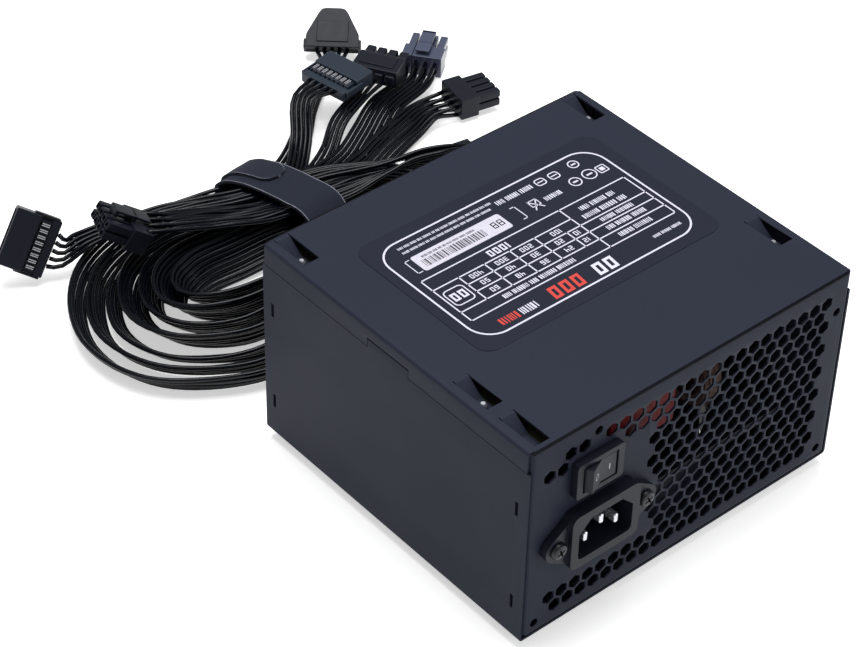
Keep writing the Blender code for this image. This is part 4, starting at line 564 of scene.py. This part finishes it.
tab_place = strap_place @ Matrix.Translation((0.0015, 0.0, 0.0))
tab_rows = strap_rows(tab_line, tab_lift, False, tab_half_width)
band(strap_bm, tab_rows, tab_thickness, tab_place, False)
for vert in strap_bm.verts:
    vert.co.z = max(vert.co.z, table_height)
face_outwards(strap_bm)
made_piece("cable_strap_cloth", strap_bm, (strap_cloth, edge_cloth), ["cable_strap"])

# ---------------------------------------------------------------- housing
# Two parts folded from 0.8 mm steel with a fine black powder coat: the top plate with both end panels, and
# the fan plate with both sides. The punched edges are sharp, the folds are rounded.
powder_coat = finish("black_powder_coat", (0.0170, 0.0198, 0.0330), 0.5, Specular_IOR_Level=0.06)
coat_place = object_place(powder_coat)
coat_y = coat_place.node("ShaderNodeSeparateXYZ", {}, {0: coat_place}, 1)
coat_z = coat_place.node("ShaderNodeSeparateXYZ", {}, {0: coat_place}, 2)
# Painted shade: the coat's colour is drawn almost black in a thin line along the top plate's folds into both
# end panels.
fold_shade_reach = 0.0010
half_depth = (steel_high[1] - steel_low[1]) / 2
past_the_panel = (coat_y - housing_y).math("ABSOLUTE") > half_depth - fold_shade_reach
fold_shade_mask = past_the_panel * (coat_z > housing_top - fold_shade_reach)
clouds = speckle(coat_place, 14.0, 3.0)
coat_tone = blend_colours(clouds, (0.0196, 0.0230, 0.0372), (0.0222, 0.0260, 0.0408))
# the near-black colour of the painted shade line at the folds
fold_shade_sockets = {0: fold_shade_mask, 6: coat_tone, 7: (0.0035, 0.0042, 0.0075, 1.0)}
feed(powder_coat, "Base Color", fold_shade_mask.node("ShaderNodeMix", {"data_type": "RGBA"}, fold_shade_sockets, 2))
worn(powder_coat, 60.0, 0.10, 0.42)
bump(powder_coat, speckle(coat_place, 2600.0, 2.0, 0.6), 0.00003, 0.35)


def merged(node):
    """A CAD piece's mesh with its doubled corners welded."""
    bm = bmesh.new()
    bm.from_mesh(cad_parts[node].data)
    bmesh.ops.remove_doubles(bm, verts=bm.verts, dist=0.000002)
    return bm


for node in ("chassis", "cover"):
    made_piece(f"{node}_steel", merged(node), (powder_coat,), [node], smooth_angle=40.0)


# ---------------------------------------------------------------- moulded pieces
# The inlet, the switch and its rocker, the cable grommet and the fan with its rotor are moulded in black
# plastic. Their edges leave the mould slightly rounded.
def bevel_edges(bm, edges, width):
    bmesh.ops.bevel(
        bm,
        geom=edges,
        offset=width,
        offset_type="OFFSET",
        segments=2,
        profile=0.5,
        affect="EDGES",
        clamp_overlap=True,
        material=-1,
    )


def softened(node, width, material, body="housing"):
    """A CAD piece with its hard edges rounded."""
    bm = merged(node)
    flat_below, hard_above = math.radians(2), math.radians(32)
    bmesh.ops.dissolve_limit(bm, angle_limit=flat_below, verts=bm.verts, edges=bm.edges)
    edges = [e for e in bm.edges if len(e.link_faces) == 2 and e.calc_face_angle(0.0) > hard_above]
    bevel_edges(bm, edges, width)
    made_piece(f"{node}_moulding", bm, (material,), [node], body, smooth_angle=40.0)


black_plastic = finish("black_plastic", (0.0085, 0.0098, 0.0170), 0.36, Specular_IOR_Level=0.17)
worn(black_plastic, 300.0, 0.14, 0.32)
grained(black_plastic, 1800.0, 0.00002, 0.3)
for node in ("inlet_body", "switch_body", "cable_grommet", "fan_frame"):
    softened(node, 0.00025, black_plastic)
softened("fan_rotor", 0.0002, black_plastic, "rotor")
softened("switch_rocker", 0.00025, black_plastic, "rocker")

# ---------------------------------------------------------------- plugs
# Moulded plugs at the ends of the leads. A power plug is a block with a square barrel for every contact and
# a sprung latch; a drive plug is a flat slab whose cap presses the wires onto a row of tinned forks.
bright_steel = finish("bright_steel", (0.66, 0.67, 0.72), 0.30, 0.8)
worn(bright_steel, 500.0, 0.2, 0.15)
grey_plastic = finish("grey_plastic", (0.018, 0.027, 0.042), 0.34, Specular_IOR_Level=0.3)
worn(grey_plastic, 240.0, 0.12, 0.28)
shiny_plastic = finish("shiny_plastic", (0.058, 0.068, 0.112), 0.22)
worn(shiny_plastic, 160.0, 0.10, 0.17)
tinned = 1  # the second finish of a plug
row_pitch = 0.0042


def block(bm, low, high, place=Matrix.Identity(4), finish_index=0):
    """A plain box between two opposite corners."""
    low, high = Vector(low), Vector(high)
    shape = place @ Matrix.LocRotScale((low + high) / 2, None, high - low)
    made = bmesh.ops.create_cube(bm, size=1.0, matrix=shape)
    for face in {face for vert in made["verts"] for face in vert.link_faces}:
        face.material_index = finish_index
    return made["verts"]


def rounded_block(bm, low, high, place, radius=0.0004, hollow=0.0):
    """A block with rounded edges; with hollow, a hole that leaves that much wall goes in from its +X end."""
    hole_depth, hole_taper = 0.0060, 0.00005
    verts = block(bm, low, high, place)
    edges = list({edge for vert in verts for edge in vert.link_edges})
    if hollow:
        along = (place.to_3x3() @ Vector((1, 0, 0))).normalized()
        faces = {face for vert in verts for face in vert.link_faces}
        front = max(faces, key=lambda face: face.normal.dot(along))
        for inset, depth in ((hollow, 0.0), (hole_taper, -hole_depth)):
            bmesh.ops.inset_individual(bm, faces=[front], thickness=inset, depth=depth, use_even_offset=True)
    bevel_edges(bm, edges, radius)


def finished_plug(plug, bm, finishes):
    face_outwards(bm)
    made_piece(f"{plug}_moulding", bm, finishes, [plug], smooth_angle=30.0)


def power_plug(plug, blocks, plastic, latch_side=1, move=Matrix.Identity(4)):
    """A plug of two rows; blocks lists the columns of each separate moulding, side by side."""
    half_height, outer_wall, parting = 0.0050, 0.0007, 0.0001
    place = plugs[plug][0] @ move
    bm = bmesh.new()
    half_width = sum(blocks) / 2 * row_pitch
    start = -half_width
    for count in blocks:
        end = start + count * row_pitch
        side = outer_wall if count == blocks[0] else 0.0
        last = outer_wall if end > half_width - 0.001 else 0.0
        low = (-0.0100, start - side + parting, -half_height)
        rounded_block(bm, low, (-0.0012, end + last - parting, half_height), place)
        for column in range(count):
            y = start + (column + 0.5) * row_pitch
            for z in (-row_pitch / 2, row_pitch / 2):
                low, high = (-0.0016, y - 0.0017, z - 0.0018), (0.0097, y + 0.0017, z + 0.0018)
                rounded_block(bm, low, high, place, 0.0006, hollow=0.0007)
                for under in (-0.0006, 0.0003):
                    low, high = (0.0050, y - 0.0008, z + under), (0.0078, y + 0.0008, z + under + 0.0003)
                    block(bm, low, high, place, tinned)
        start = end
    turn = place @ Matrix.Scale(latch_side, 4, Vector((0, 0, 1)))
    top = half_height + (0.0014 if latch_side < 0 else 0.0024)
    latch = ((-0.0030, -0.0012, 0.0045), (-0.0088, 0.0068, top - 0.0010), (0.0054, 0.0072, 0.0044))
    for back, front, foot in latch:
        rounded_block(bm, (back, -0.0031, foot), (front, 0.0031, top), turn, 0.0003)
    finished_plug(plug, bm, (plastic, bright_steel))


def hooded_drive_plug(plug, plastic, climb):
    """A flat plug inside a cap that slants in to the mating end and hides the forks."""
    half_thickness = 0.0032
    back = Matrix.Translation((-0.0095, 0.0, 0.0))
    place = plugs[plug][0] @ back @ turned(-climb, "Y") @ back.inverted()
    half = ((-0.0095, 0.0120), (-0.0030, 0.0116), (0.0070, 0.0066), (0.0090, 0.0052), (0.0095, 0.0034))
    outline = [*half, *((x, -y) for x, y in reversed(half))]
    bm = bmesh.new()
    levels = (-half_thickness, half_thickness)
    under, over = ([bm.verts.new(place @ Vector((x, y, z))) for x, y in outline] for z in levels)
    bm.faces.new(over)
    bm.faces.new(reversed(under))
    for step, (first, second) in enumerate(zip(under, over)):
        bm.faces.new((first, second, over[step - 1], under[step - 1]))
    face_outwards(bm)
    bevel_edges(bm, list(bm.edges), 0.0005)
    rounded_block(bm, (-0.0095, -0.0127, -0.0034), (-0.0050, 0.0127, 0.0022), place, 0.0006)
    rounded_block(bm, (-0.0070, -0.0070, 0.0026), (0.0030, 0.0070, 0.0037), place, 0.0004)
    finished_plug(plug, bm, (plastic,))


def drive_plug(plug, plastic):
    """A flat plug: a slotted slab in front, then the forks that bite the wires and the cap's lower step."""
    place = plugs[plug][0]
    bm = bmesh.new()
    rounded_block(bm, (-0.0010, -0.0120, -0.0032), (0.0095, 0.0120, 0.0032), place, 0.0007, hollow=0.0011)
    rounded_block(bm, (-0.0062, -0.0117, -0.0032), (-0.0004, 0.0117, 0.0004), place, 0.0003)
    rounded_block(bm, (-0.0095, -0.0120, -0.0034), (-0.0056, 0.0120, 0.0013), place, 0.0006)
    block(bm, (0.0040, -0.0102, -0.0009), (0.0088, 0.0092, -0.0001), place)
    teeth, tooth_pitch = 9, 0.00254
    for tooth in range(teeth):
        y = (tooth - 4) * tooth_pitch
        rounded_block(bm, (-0.0056, y - 0.0004, 0.0), (-0.0012, y + 0.0004, 0.0020), place, 0.00015)
        if tooth < teeth - 1:
            y += tooth_pitch / 2
            for across in (-0.0004, 0.0004):
                fork = (-0.0050, y + across - 0.0002, 0.0), (-0.0018, y + across + 0.0002, 0.0029)
                block(bm, *fork, place, tinned)
    for ear in (-1, 1):
        low, high = sorted((0.0119 * ear, 0.0128 * ear))
        rounded_block(bm, (-0.0085, low, -0.0016), (0.0020, high, 0.0014), place, 0.0003)
    finished_plug(plug, bm, (plastic, bright_steel))


def peripheral_plug(plug, plastic):
    """Four barrels with a pin in each, in a block with a raised grip."""
    place = plugs[plug][0]
    bm = bmesh.new()
    for y in (-0.0075, -0.0025, 0.0025, 0.0075):
        low, high = (-0.0100, y - 0.0021, -0.0024), (0.0110, y + 0.0021, 0.0022)
        rounded_block(bm, low, high, place, 0.0009, hollow=0.0008)
        block(bm, (0.0060, y - 0.0009, -0.0009), (0.0098, y + 0.0009, 0.0009), place, tinned)
    rounded_block(bm, (-0.0085, -0.0105, -0.0042), (0.0040, 0.0105, 0.0040), place, 0.0010)
    rounded_block(bm, (-0.0060, -0.0078, 0.0030), (0.0020, 0.0078, 0.0046), place, 0.0005)
    finished_plug(plug, bm, (plastic, bright_steel))


power_plug("mainboard_plug", (10, 2), black_plastic)
power_plug("graphics_plug_1", (4,), black_plastic, -1, Matrix.Translation((0.0, 0.0, 0.0014)))
power_plug("graphics_plug_2", (3, 1), shiny_plastic)
lifted = Matrix.Translation((-0.0100, 0.0, -0.0030)) @ turned(-34, "Y")
power_plug("cpu_plug", (2, 2), black_plastic, 1, lifted @ Matrix.Translation((0.0100, 0.0, 0.0)))
drive_plug("drive_plug_1", black_plastic)
drive_plug("drive_plug_2", grey_plastic)
hooded_drive_plug("drive_plug_3", black_plastic, 32.0)
peripheral_plug("peripheral_plug", black_plastic)

# ---------------------------------------------------------------- rating label
# A black film with a white frame line, a ruled table, plain numbers and bars, and a white sticker of bars. It
# reads the right way up from the cable side. Bars and plain numbers stand where the print would be.
label_film = finish("label_film", (0.0158, 0.0188, 0.0310), 0.38, Specular_IOR_Level=0.10)
worn(label_film, 120.0, 0.08, 0.28)
made_piece("rating_label_film", merged("rating_label"), (label_film,), ["rating_label"])
white_ink = finish("white_ink", (0.61, 0.61, 0.72), 0.45)
red_ink = finish("red_ink", (0.56, 0.030, 0.018), 0.45)
black_ink = finish("black_ink", (0.06, 0.06, 0.075), 0.45)
for printing_ink in (white_ink, red_ink, black_ink):
    grained(printing_ink, 900.0, 0.00001, 0.3)
sticker_paper = finish("sticker_paper", (0.56, 0.54, 0.63), 0.5)
paper_speckle = speckle(object_place(sticker_paper), 900.0)
feed(sticker_paper, "Base Color", blend_colours(paper_speckle, (0.44, 0.42, 0.51), (0.66, 0.64, 0.73)))
white, red, black, paper = 0, 1, 2, 3
ink_height = 0.00001
label_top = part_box("rating_label")[1][2] + ink_height
ink = bmesh.new()


def printed(points, colour, level=0):
    """A flat printed shape on the label; points in millimetres about the housing's middle."""
    height = label_top + level * ink_height
    corners = [ink.verts.new((x / 1000, y / 1000 + housing_y, height)) for x, y in points]
    ink.faces.new(corners).material_index = colour


def bar(left, foot, right, head, colour=white, level=0):
    printed(((left, foot), (right, foot), (right, head), (left, head)), colour, level)


def rule(x1, y1, x2, y2, thickness=0.55):
    along = Vector((x2 - x1, y2 - y1)).normalized() * thickness / 2
    side = Vector((-along.y, along.x))
    a, b = Vector((x1, y1)) - along, Vector((x2, y2)) + along
    printed((a - side, b - side, b + side, a + side), white)


def rim(outer, inner):
    """The stretch between two outlines with as many points."""
    for (a, b), (c, d) in zip(zip(outer, outer[1:] + outer[:1]), zip(inner, inner[1:] + inner[:1])):
        printed((a, b, d, c), white)


def rounded(left, foot, right, head, corner, steps=8):
    points = []
    for x, y, start in ((right, head, 0), (left, head, 90), (left, foot, 180), (right, foot, 270)):
        middle = (x - corner if x == right else x + corner, y - corner if y == head else y + corner)
        for i in range(steps + 1):
            angle = math.radians(start + 90 * i / steps)
            points.append((middle[0] + corner * math.cos(angle), middle[1] + corner * math.sin(angle)))
    return points


def framed(left, foot, right, head, corner, width):
    inside = rounded(left + width, foot + width, right - width, head - width, max(corner - width, 0.01))
    rim(rounded(left, foot, right, head, corner), inside)


segments_of = {  # top, upper left, upper right, middle, lower left, lower right, foot
    "0": "1110111", "1": "0010010", "2": "1011101", "3": "1011011", "4": "0111010",
    "5": "1101011", "6": "1101111", "7": "1010010", "8": "1111111", "9": "1111011",
}


def number(text, x, y, height, colour=white, weight=0.17, lean=0.0):
    """Plain numerals about (x, y), turned so that they read from the cable side."""
    width, pitch, stroke = 0.62 * height, 0.84 * height, weight * height
    left, right, foot, head = -width / 2, width / 2, -height / 2, height / 2
    for index, digit in enumerate(text):
        middle = x - (index - (len(text) - 1) / 2) * pitch
        lit = [shown == "1" for shown in segments_of[digit]]
        crown = head - stroke if lit[0] else head
        above, below = (stroke / 2, -stroke / 2) if lit[3] else (0.0, 0.0)
        sole = foot + stroke if lit[6] else foot
        bars = (
            (left, head - stroke, right, head),
            (left, above, left + stroke, crown),
            (right - stroke, above, right, crown),
            (left, -stroke / 2, right, stroke / 2),
            (left, sole, left + stroke, below),
            (right - stroke, sole, right, below),
            (left, foot, right, foot + stroke),
        )
        for shown, (a, b, c, d) in zip(lit, bars):
            if shown:
                corners = ((a, b), (c, b), (c, d), (a, d))
                printed([(middle - u - lean * v, y - v) for u, v in corners], colour)


def words(left, foot, right, height, seed, colour=white):
    """A run of upright strokes in groups, where a line of print would be."""
    shuffle = random.Random(seed)
    x = left
    word = shuffle.randint(4, 9)
    while x < right - 0.1 * height:
        thickness = height * shuffle.choice((0.14, 0.18, 0.26))
        bar(x, foot + height * shuffle.uniform(0.0, 0.08), x + thickness, foot + height, colour)
        x += thickness + height * shuffle.choice((0.11, 0.14, 0.18))
        word -= 1
        if word == 0 and x < right - 1.6 * height:
            x += 0.3 * height
            word = shuffle.randint(4, 9)


framed(-49.9, -19.5, 52.2, 40.9, 10.0, 0.75)
for x1, y1, x2, y2 in (
    (-46.0, -8.0, 49.4, -8.0),
    (-46.0, 18.6, 49.4, 18.6),
    (-46.0, -8.0, -46.0, 18.6),
    (49.4, -8.0, 49.4, 18.6),
    (17.9, -8.0, 17.9, 18.6),
    (-46.0, 12.3, 17.9, 12.3),
    (17.9, 7.4, 49.4, 7.4),
    (-46.0, -2.4, 49.4, -2.4),
    (-34.4, 7.4, 17.9, 7.4),
    (-34.4, 2.8, 49.4, 2.8),
    (-34.4, -2.4, -34.4, 12.3),
    (-22.7, -2.4, -22.7, 12.3),
    (-11.1, -2.4, -11.1, 12.3),
    (0.4, -2.4, 0.4, 7.4),
    (0.4, 7.4, 0.4, 12.3),
    (11.4, -2.4, 11.4, 7.4),
):
    rule(x1, y1, x2, y2)
for row, values in enumerate((("12", "24", "36", "48", "60"), ("10", "20", "30", "40", "50"))):
    for x, value in zip((14.6, 5.9, -5.4, -16.9, -28.5), values):
        number(value, x, 0.2 + 5.0 * row, 2.3)
for x, value in zip((9.0, -5.4, -16.9, -28.5), ("100", "200", "300", "400")):
    number(value, x, 9.9, 2.3)
number("1000", -12.8, 15.4, 3.4, weight=0.2)
words(-29.3, -6.4, 3.6, 2.3, 1)
for left, foot, right, height in (
    (25.0, -6.3, 40.2, 2.4),
    (24.2, -0.9, 42.6, 2.4),
    (25.7, 4.0, 41.0, 2.2),
    (22.0, 8.9, 42.0, 2.5),
    (24.2, 13.2, 40.8, 2.4),
):
    words(left, foot, right, height, round(left * foot))
framed(-44.9, 0.4, -36.0, 9.6, 2.0, 0.5)
number("00", -40.4, 5.0, 4.2, weight=0.2)
number("000", -8.6, -14.3, 6.2, red, 0.2, 0.12)
number("00", 9.4, -14.3, 6.2, white, 0.2, 0.12)
words(-30.0, -16.6, -22.4, 3.6, 7)
words(33.5, -14.2, 46.5, 1.5, 41)
words(-39.2, -16.6, -30.5, 3.6, 11, red)
printed(rounded(-40.8, 21.9, -0.4, 31.0, 1.1, 4), paper)
number("88", -4.2, 26.4, 3.4, black, 0.13)
shuffle = random.Random(3)
x = -38.6
while x < -11.0:
    thickness = shuffle.choice((0.25, 0.25, 0.5, 0.75))
    bar(x, 23.6, x + thickness, 27.6, black, 1)
    x += thickness + shuffle.choice((0.3, 0.3, 0.55))
words(-37.0, 28.4, -13.0, 1.1, 9, black)
for foot, left, right in ((36.4, -41.0, 1.5), (33.7, -41.0, -0.5)):
    words(left, foot, right, 1.2, round(foot))
for x, inwards in ((-43.6, 1), (6.8, -1)):
    rule(x, 22.6, x, 30.2, 0.4)
    rule(x, 22.6, x + 1.8 * inwards, 22.6, 0.4)
    rule(x, 30.2, x + 1.8 * inwards, 30.2, 0.4)
words(3.0, 34.0, 20.0, 2.5, 21)
for x, y, reach in ((34.0, 27.4, 2.6), (41.0, 27.6, 3.0), (40.4, 35.6, 2.3)):
    turns = [a * math.tau / 20 for a in range(20)]
    rim(*([(x + r * math.cos(turn), y + r * math.sin(turn)) for turn in turns] for r in (reach, reach - 0.5)))
    bar(x - reach * 0.45, y - 0.4, x + reach * 0.45, y + 0.4)
framed(44.6, 25.0, 49.0, 29.4, 0.8, 0.5)
bar(45.8, 26.2, 47.8, 28.2)
for x, y in ((24.0, 35.2), (30.4, 35.0)):
    framed(x - 2.3, y - 2.0, x + 2.3, y + 2.0, 1.4, 0.5)
    rule(x - 1.2, y, x + 1.2, y, 0.5)
rule(12.0, 23.8, 15.8, 29.0, 0.5)
rule(15.8, 23.8, 12.0, 29.0, 0.5)
framed(11.8, 25.4, 16.0, 29.2, 0.3, 0.4)
words(18.4, 25.2, 26.4, 2.4, 33)
face_outwards(ink)
for face in ink.faces:
    if face.normal.z < 0:
        face.normal_flip()
made_piece("label_print", ink, (white_ink, red_ink, black_ink, sticker_paper))

# ---------------------------------------------------------------- switch and inlet
# The rocker carries a ring and a bar in pale print, one on each half. The inlet's three flat pins are bright
# metal, pressed into its moulding.
pale_ink = finish("pale_ink", (0.55, 0.56, 0.60), 0.5)
grained(pale_ink, 900.0, 0.00001, 0.3)
pivot = Vector((-0.046, steel_low[1] - 0.0010, 0.0687))
rocker_turn = Matrix.Translation(pivot) @ turned(12, "Z")
marks = bmesh.new()
edge_rise, middle_rise, half_face = 0.0035, 0.0021, 0.00652
fall = math.atan2(edge_rise - middle_rise, half_face)  # of either half of the face, towards the middle
mark_reach, ring_outer, ring_inner, ring_squash, segments = 0.0036, 0.00135, 0.00100, 0.85, 24
for side in (-1, 1):
    ridge = Matrix.Translation((0.0, -middle_rise, 0.0))
    face_place = rocker_turn @ ridge @ Matrix.Rotation(-side * fall, 4, "Z")
    middle = side * mark_reach
    if side > 0:
        block(marks, (middle - 0.0002, -0.00006, -0.0012), (middle + 0.0002, 0.00001, 0.0012), face_place)
        continue
    for index in range(segments):
        start, stop = index * math.tau / segments, (index + 1) * math.tau / segments
        corners = []
        ends = ((ring_outer, start), (ring_outer, stop), (ring_inner, stop), (ring_inner, start))
        for radius, angle in ends:
            spot = (middle + radius * math.cos(angle) * ring_squash, -0.00005, radius * math.sin(angle))
            corners.append(marks.verts.new(face_place @ Vector(spot)))
        marks.faces.new(corners)
face_outwards(marks)
made_piece("rocker_marks", marks, (pale_ink,), body="rocker")
for pin in ("live", "neutral", "earth"):
    softened(f"inlet_pin_{pin}", 0.0003, bright_steel)

# ---------------------------------------------------------------- screws
# Steel pan-head screws with a cross recess: black ones hold the cover, the fan and the inlet, bright ones the
# circuit board.
black_steel = finish("black_steel", (0.010, 0.011, 0.015), 0.42, 0.4)
worn(black_steel, 700.0, 0.2, 0.26)


def pan_screw(node, axis, material):
    """A turned screw with a cross recess, its head at the low end of its CAD piece's axis."""
    low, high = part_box(node)
    radius = (high[0] - low[0]) / 2
    length = high[axis] - low[axis]
    head, shank, thread_pitch, plain_end = min(0.0017, 0.23 * length), 0.0015, 0.0006, 0.0008
    core = shank * 0.84
    profile = [(0.0, 0.0), (radius * 0.62, 0.0), (radius * 0.86, head * 0.22), (radius, head * 0.72)]
    profile += [(radius, head), (shank, head)]
    for thread in range(int((length - head - plain_end) / thread_pitch)):
        z = head + 0.0002 + thread * thread_pitch
        profile += [(core, z), (shank, z + thread_pitch / 2)]
    profile += [(core, length - thread_pitch), (shank * 0.5, length), (0.0, length)]
    bm = bmesh.new()
    verts = [bm.verts.new((r, 0.0, z)) for r, z in profile]
    geom = verts + [bm.edges.new(pair) for pair in zip(verts, verts[1:])]
    turn = {"axis": (0, 0, 1), "cent": (0, 0, 0), "steps": 24, "angle": math.tau}
    bmesh.ops.spin(bm, geom=geom, use_merge=True, **turn)
    bmesh.ops.remove_doubles(bm, verts=bm.verts, dist=0.000004)
    face_outwards(bm)
    cross = bmesh.new()
    half_slot = radius * 0.11
    block(cross, (-radius * 0.55, -half_slot, -head), (radius * 0.55, half_slot, head * 0.62))
    block(cross, (-half_slot, -radius * 0.551, -head), (half_slot, radius * 0.551, head * 0.621))
    blank, driver = (add_object(f"{node}_{part}", bpy.data.meshes.new(node)) for part in ("blank", "recess"))
    for thing, shape in ((blank, bm), (driver, cross)):
        shape.to_mesh(thing.data)
        shape.free()
    recess = blank.modifiers.new("recess", "BOOLEAN")
    recess.operation, recess.object, recess.solver, recess.use_self = "DIFFERENCE", driver, "EXACT", True
    made = baked(blank)
    for thing in (blank, driver):
        bpy.data.objects.remove(thing)
    middle = (low + high) / 2
    middle[axis] = low[axis]
    place = Matrix.Translation(middle)
    if axis == 1:
        place @= Matrix.Rotation(-math.pi / 2, 4, "X")
    place @= Matrix.Rotation(random.Random(node).uniform(0, math.pi), 4, "Z")
    final = bmesh.new()
    final.from_mesh(made)
    bmesh.ops.transform(final, matrix=place, verts=final.verts)
    made_piece(node + "_turned", final, (material,), [node], smooth_angle=30.0)


for index in range(1, 5):
    pan_screw(f"cover_screw_{index}", 2, black_steel)
    pan_screw(f"fan_screw_{index}", 2, black_steel)
    pan_screw(f"board_screw_{index}", 2, bright_steel)
for index in (1, 2):
    pan_screw(f"inlet_screw_{index}", 1, black_steel)

# ---------------------------------------------------------------- fan guard
# Rings of 1.6 mm chromed steel wire are welded under four legs of the same wire. The legs end in eyelets bent
# round the fan screws.
wire_radius, guard_middle = 0.0008, Vector((0.0, housing_y, 0.0))
guard_bm = bmesh.new()


def guard_wire(points, closed):
    """A round wire along points, closed on itself or capped."""
    sides = 12
    rings = []
    for index, point in enumerate(points):
        before, after = neighbours(points, index, closed)
        along = (after - before).normalized()
        side = along.cross(Vector((0, 0, 1))).normalized()
        up = side.cross(along)
        ring = []
        for turn in (math.tau * k / sides for k in range(sides)):
            spot = point + side * wire_radius * math.cos(turn) + up * wire_radius * math.sin(turn)
            ring.append(guard_bm.verts.new(spot))
        rings.append(ring)
    for index in range(len(rings) if closed else len(rings) - 1):
        a, b = rings[index], rings[(index + 1) % len(rings)]
        for k in range(sides):
            guard_bm.faces.new((a[k], a[(k + 1) % sides], b[(k + 1) % sides], b[k]))
    if not closed:
        guard_bm.faces.new(rings[0])
        guard_bm.faces.new(rings[-1][::-1])


def circle_points(centre, radius, count):
    turns = [a * math.tau / count for a in range(count)]
    return [centre + Vector((radius * math.cos(turn), radius * math.sin(turn), 0)) for turn in turns]


innermost, outermost, gaps = 0.0160, 0.0575, 5
for ring in range(gaps + 1):
    radius = innermost + ring * (outermost - innermost) / gaps
    guard_wire(circle_points(guard_middle + Vector((0, 0, wire_radius)), radius, 72), True)
hole_offset, eyelet_radius = 0.0525, 0.0031
leg_height, eyelet_height = 0.00208, 0.0029
hole_reach = hole_offset * math.sqrt(2)
# distance from the guard's middle, height
leg_line = (
    (0.0144, leg_height),
    (0.0600, leg_height),
    (0.0622, leg_height),
    (0.0650, 0.0025),
    (0.0669, eyelet_height),
    (hole_reach - 0.0029, eyelet_height),
)
for quarter in range(4):
    turn = Matrix.Translation(guard_middle) @ turned(45 + 90 * quarter, "Z")
    guard_wire([turn @ Vector((reach, 0, z)) for reach, z in leg_line], False)
    guard_wire(circle_points(turn @ Vector((hole_reach, 0, eyelet_height)), eyelet_radius, 32), True)
face_outwards(guard_bm)
chrome = finish("dark_chrome", (0.08, 0.08, 0.09), 0.25, 1.0)
worn(chrome, 300.0, 0.15, 0.18)
made_piece("fan_guard_wire", guard_bm, (chrome,), ["fan_guard"], smooth_angle=60.0)

# ---------------------------------------------------------------- inside
# The circuit board hangs under the tabs of the top plate. Through the rear panel's holes show the red filter
# capacitor, the wound chokes, the capacitors in their sleeves and the heat sinks.
aluminium = finish("aluminium", (0.60, 0.61, 0.63), 0.36, 1.0)
worn(aluminium, 400.0, 0.2, 0.26)
board_paint = finish("circuit_board", (0.060, 0.045, 0.018), 0.5)
patches = speckle(object_place(board_paint), 90.0, 1.0) > 0.52
feed(board_paint, "Base Color", blend_colours(patches, (0.016, 0.017, 0.010), (0.032, 0.030, 0.015)))
red_case = finish("red_case", (0.13, 0.007, 0.008), 0.5, Specular_IOR_Level=0.2)
grained(red_case, 800.0, 0.00003, 0.4)
sleeve = finish("capacitor_sleeve", (0.018, 0.018, 0.026), 0.3)
worn(sleeve, 200.0, 0.1, 0.26)
tape = finish("yellow_tape", (0.20, 0.15, 0.02), 0.5)
grained(tape, 500.0, 0.00005, 0.4)
copper = finish("enamelled_copper", (0.050, 0.020, 0.012), 0.4, 0.5)
copper_place = object_place(copper)
turns_of_wire = copper_place.node("ShaderNodeTexWave", {}, {"Vector": copper_place, "Scale": 260.0})
bump(copper, turns_of_wire, 0.0003, 0.7)
fish_paper = finish("fish_paper", (0.10, 0.10, 0.085), 0.6)
grained(fish_paper, 300.0, 0.00008, 0.4)
for node, width, material, slot in (
    ("main_board", 0.00015, board_paint, "board"),
    ("filter_capacitor", 0.0004, red_case, "red_case"),
    ("primary_heatsink", 0.0002, aluminium, "aluminium"),
    ("secondary_heatsink", 0.0002, aluminium, "aluminium"),
    ("main_transformer", 0.0004, tape, "core"),
    ("standby_transformer", 0.0003, tape, "core"),
    ("insulation_sheet", 0.0001, fish_paper, "fish_paper"),
):
    softened(node, width, material)
for material, slot, nodes in (
    (sleeve, "sleeve", ("bulk_capacitor_1", "bulk_capacitor_2", "output_capacitor_1", "output_capacitor_2")),
    (lead_jacket, "sleeve", ("mains_leads",)),
    (lead_jacket, "lead_jacket", ("output_loom",)),
    (copper, "copper", ("filter_choke", "output_choke")),
):
    for node in nodes:
        made_piece(node + "_finished", merged(node), (material,), [node], smooth_angle=50.0)
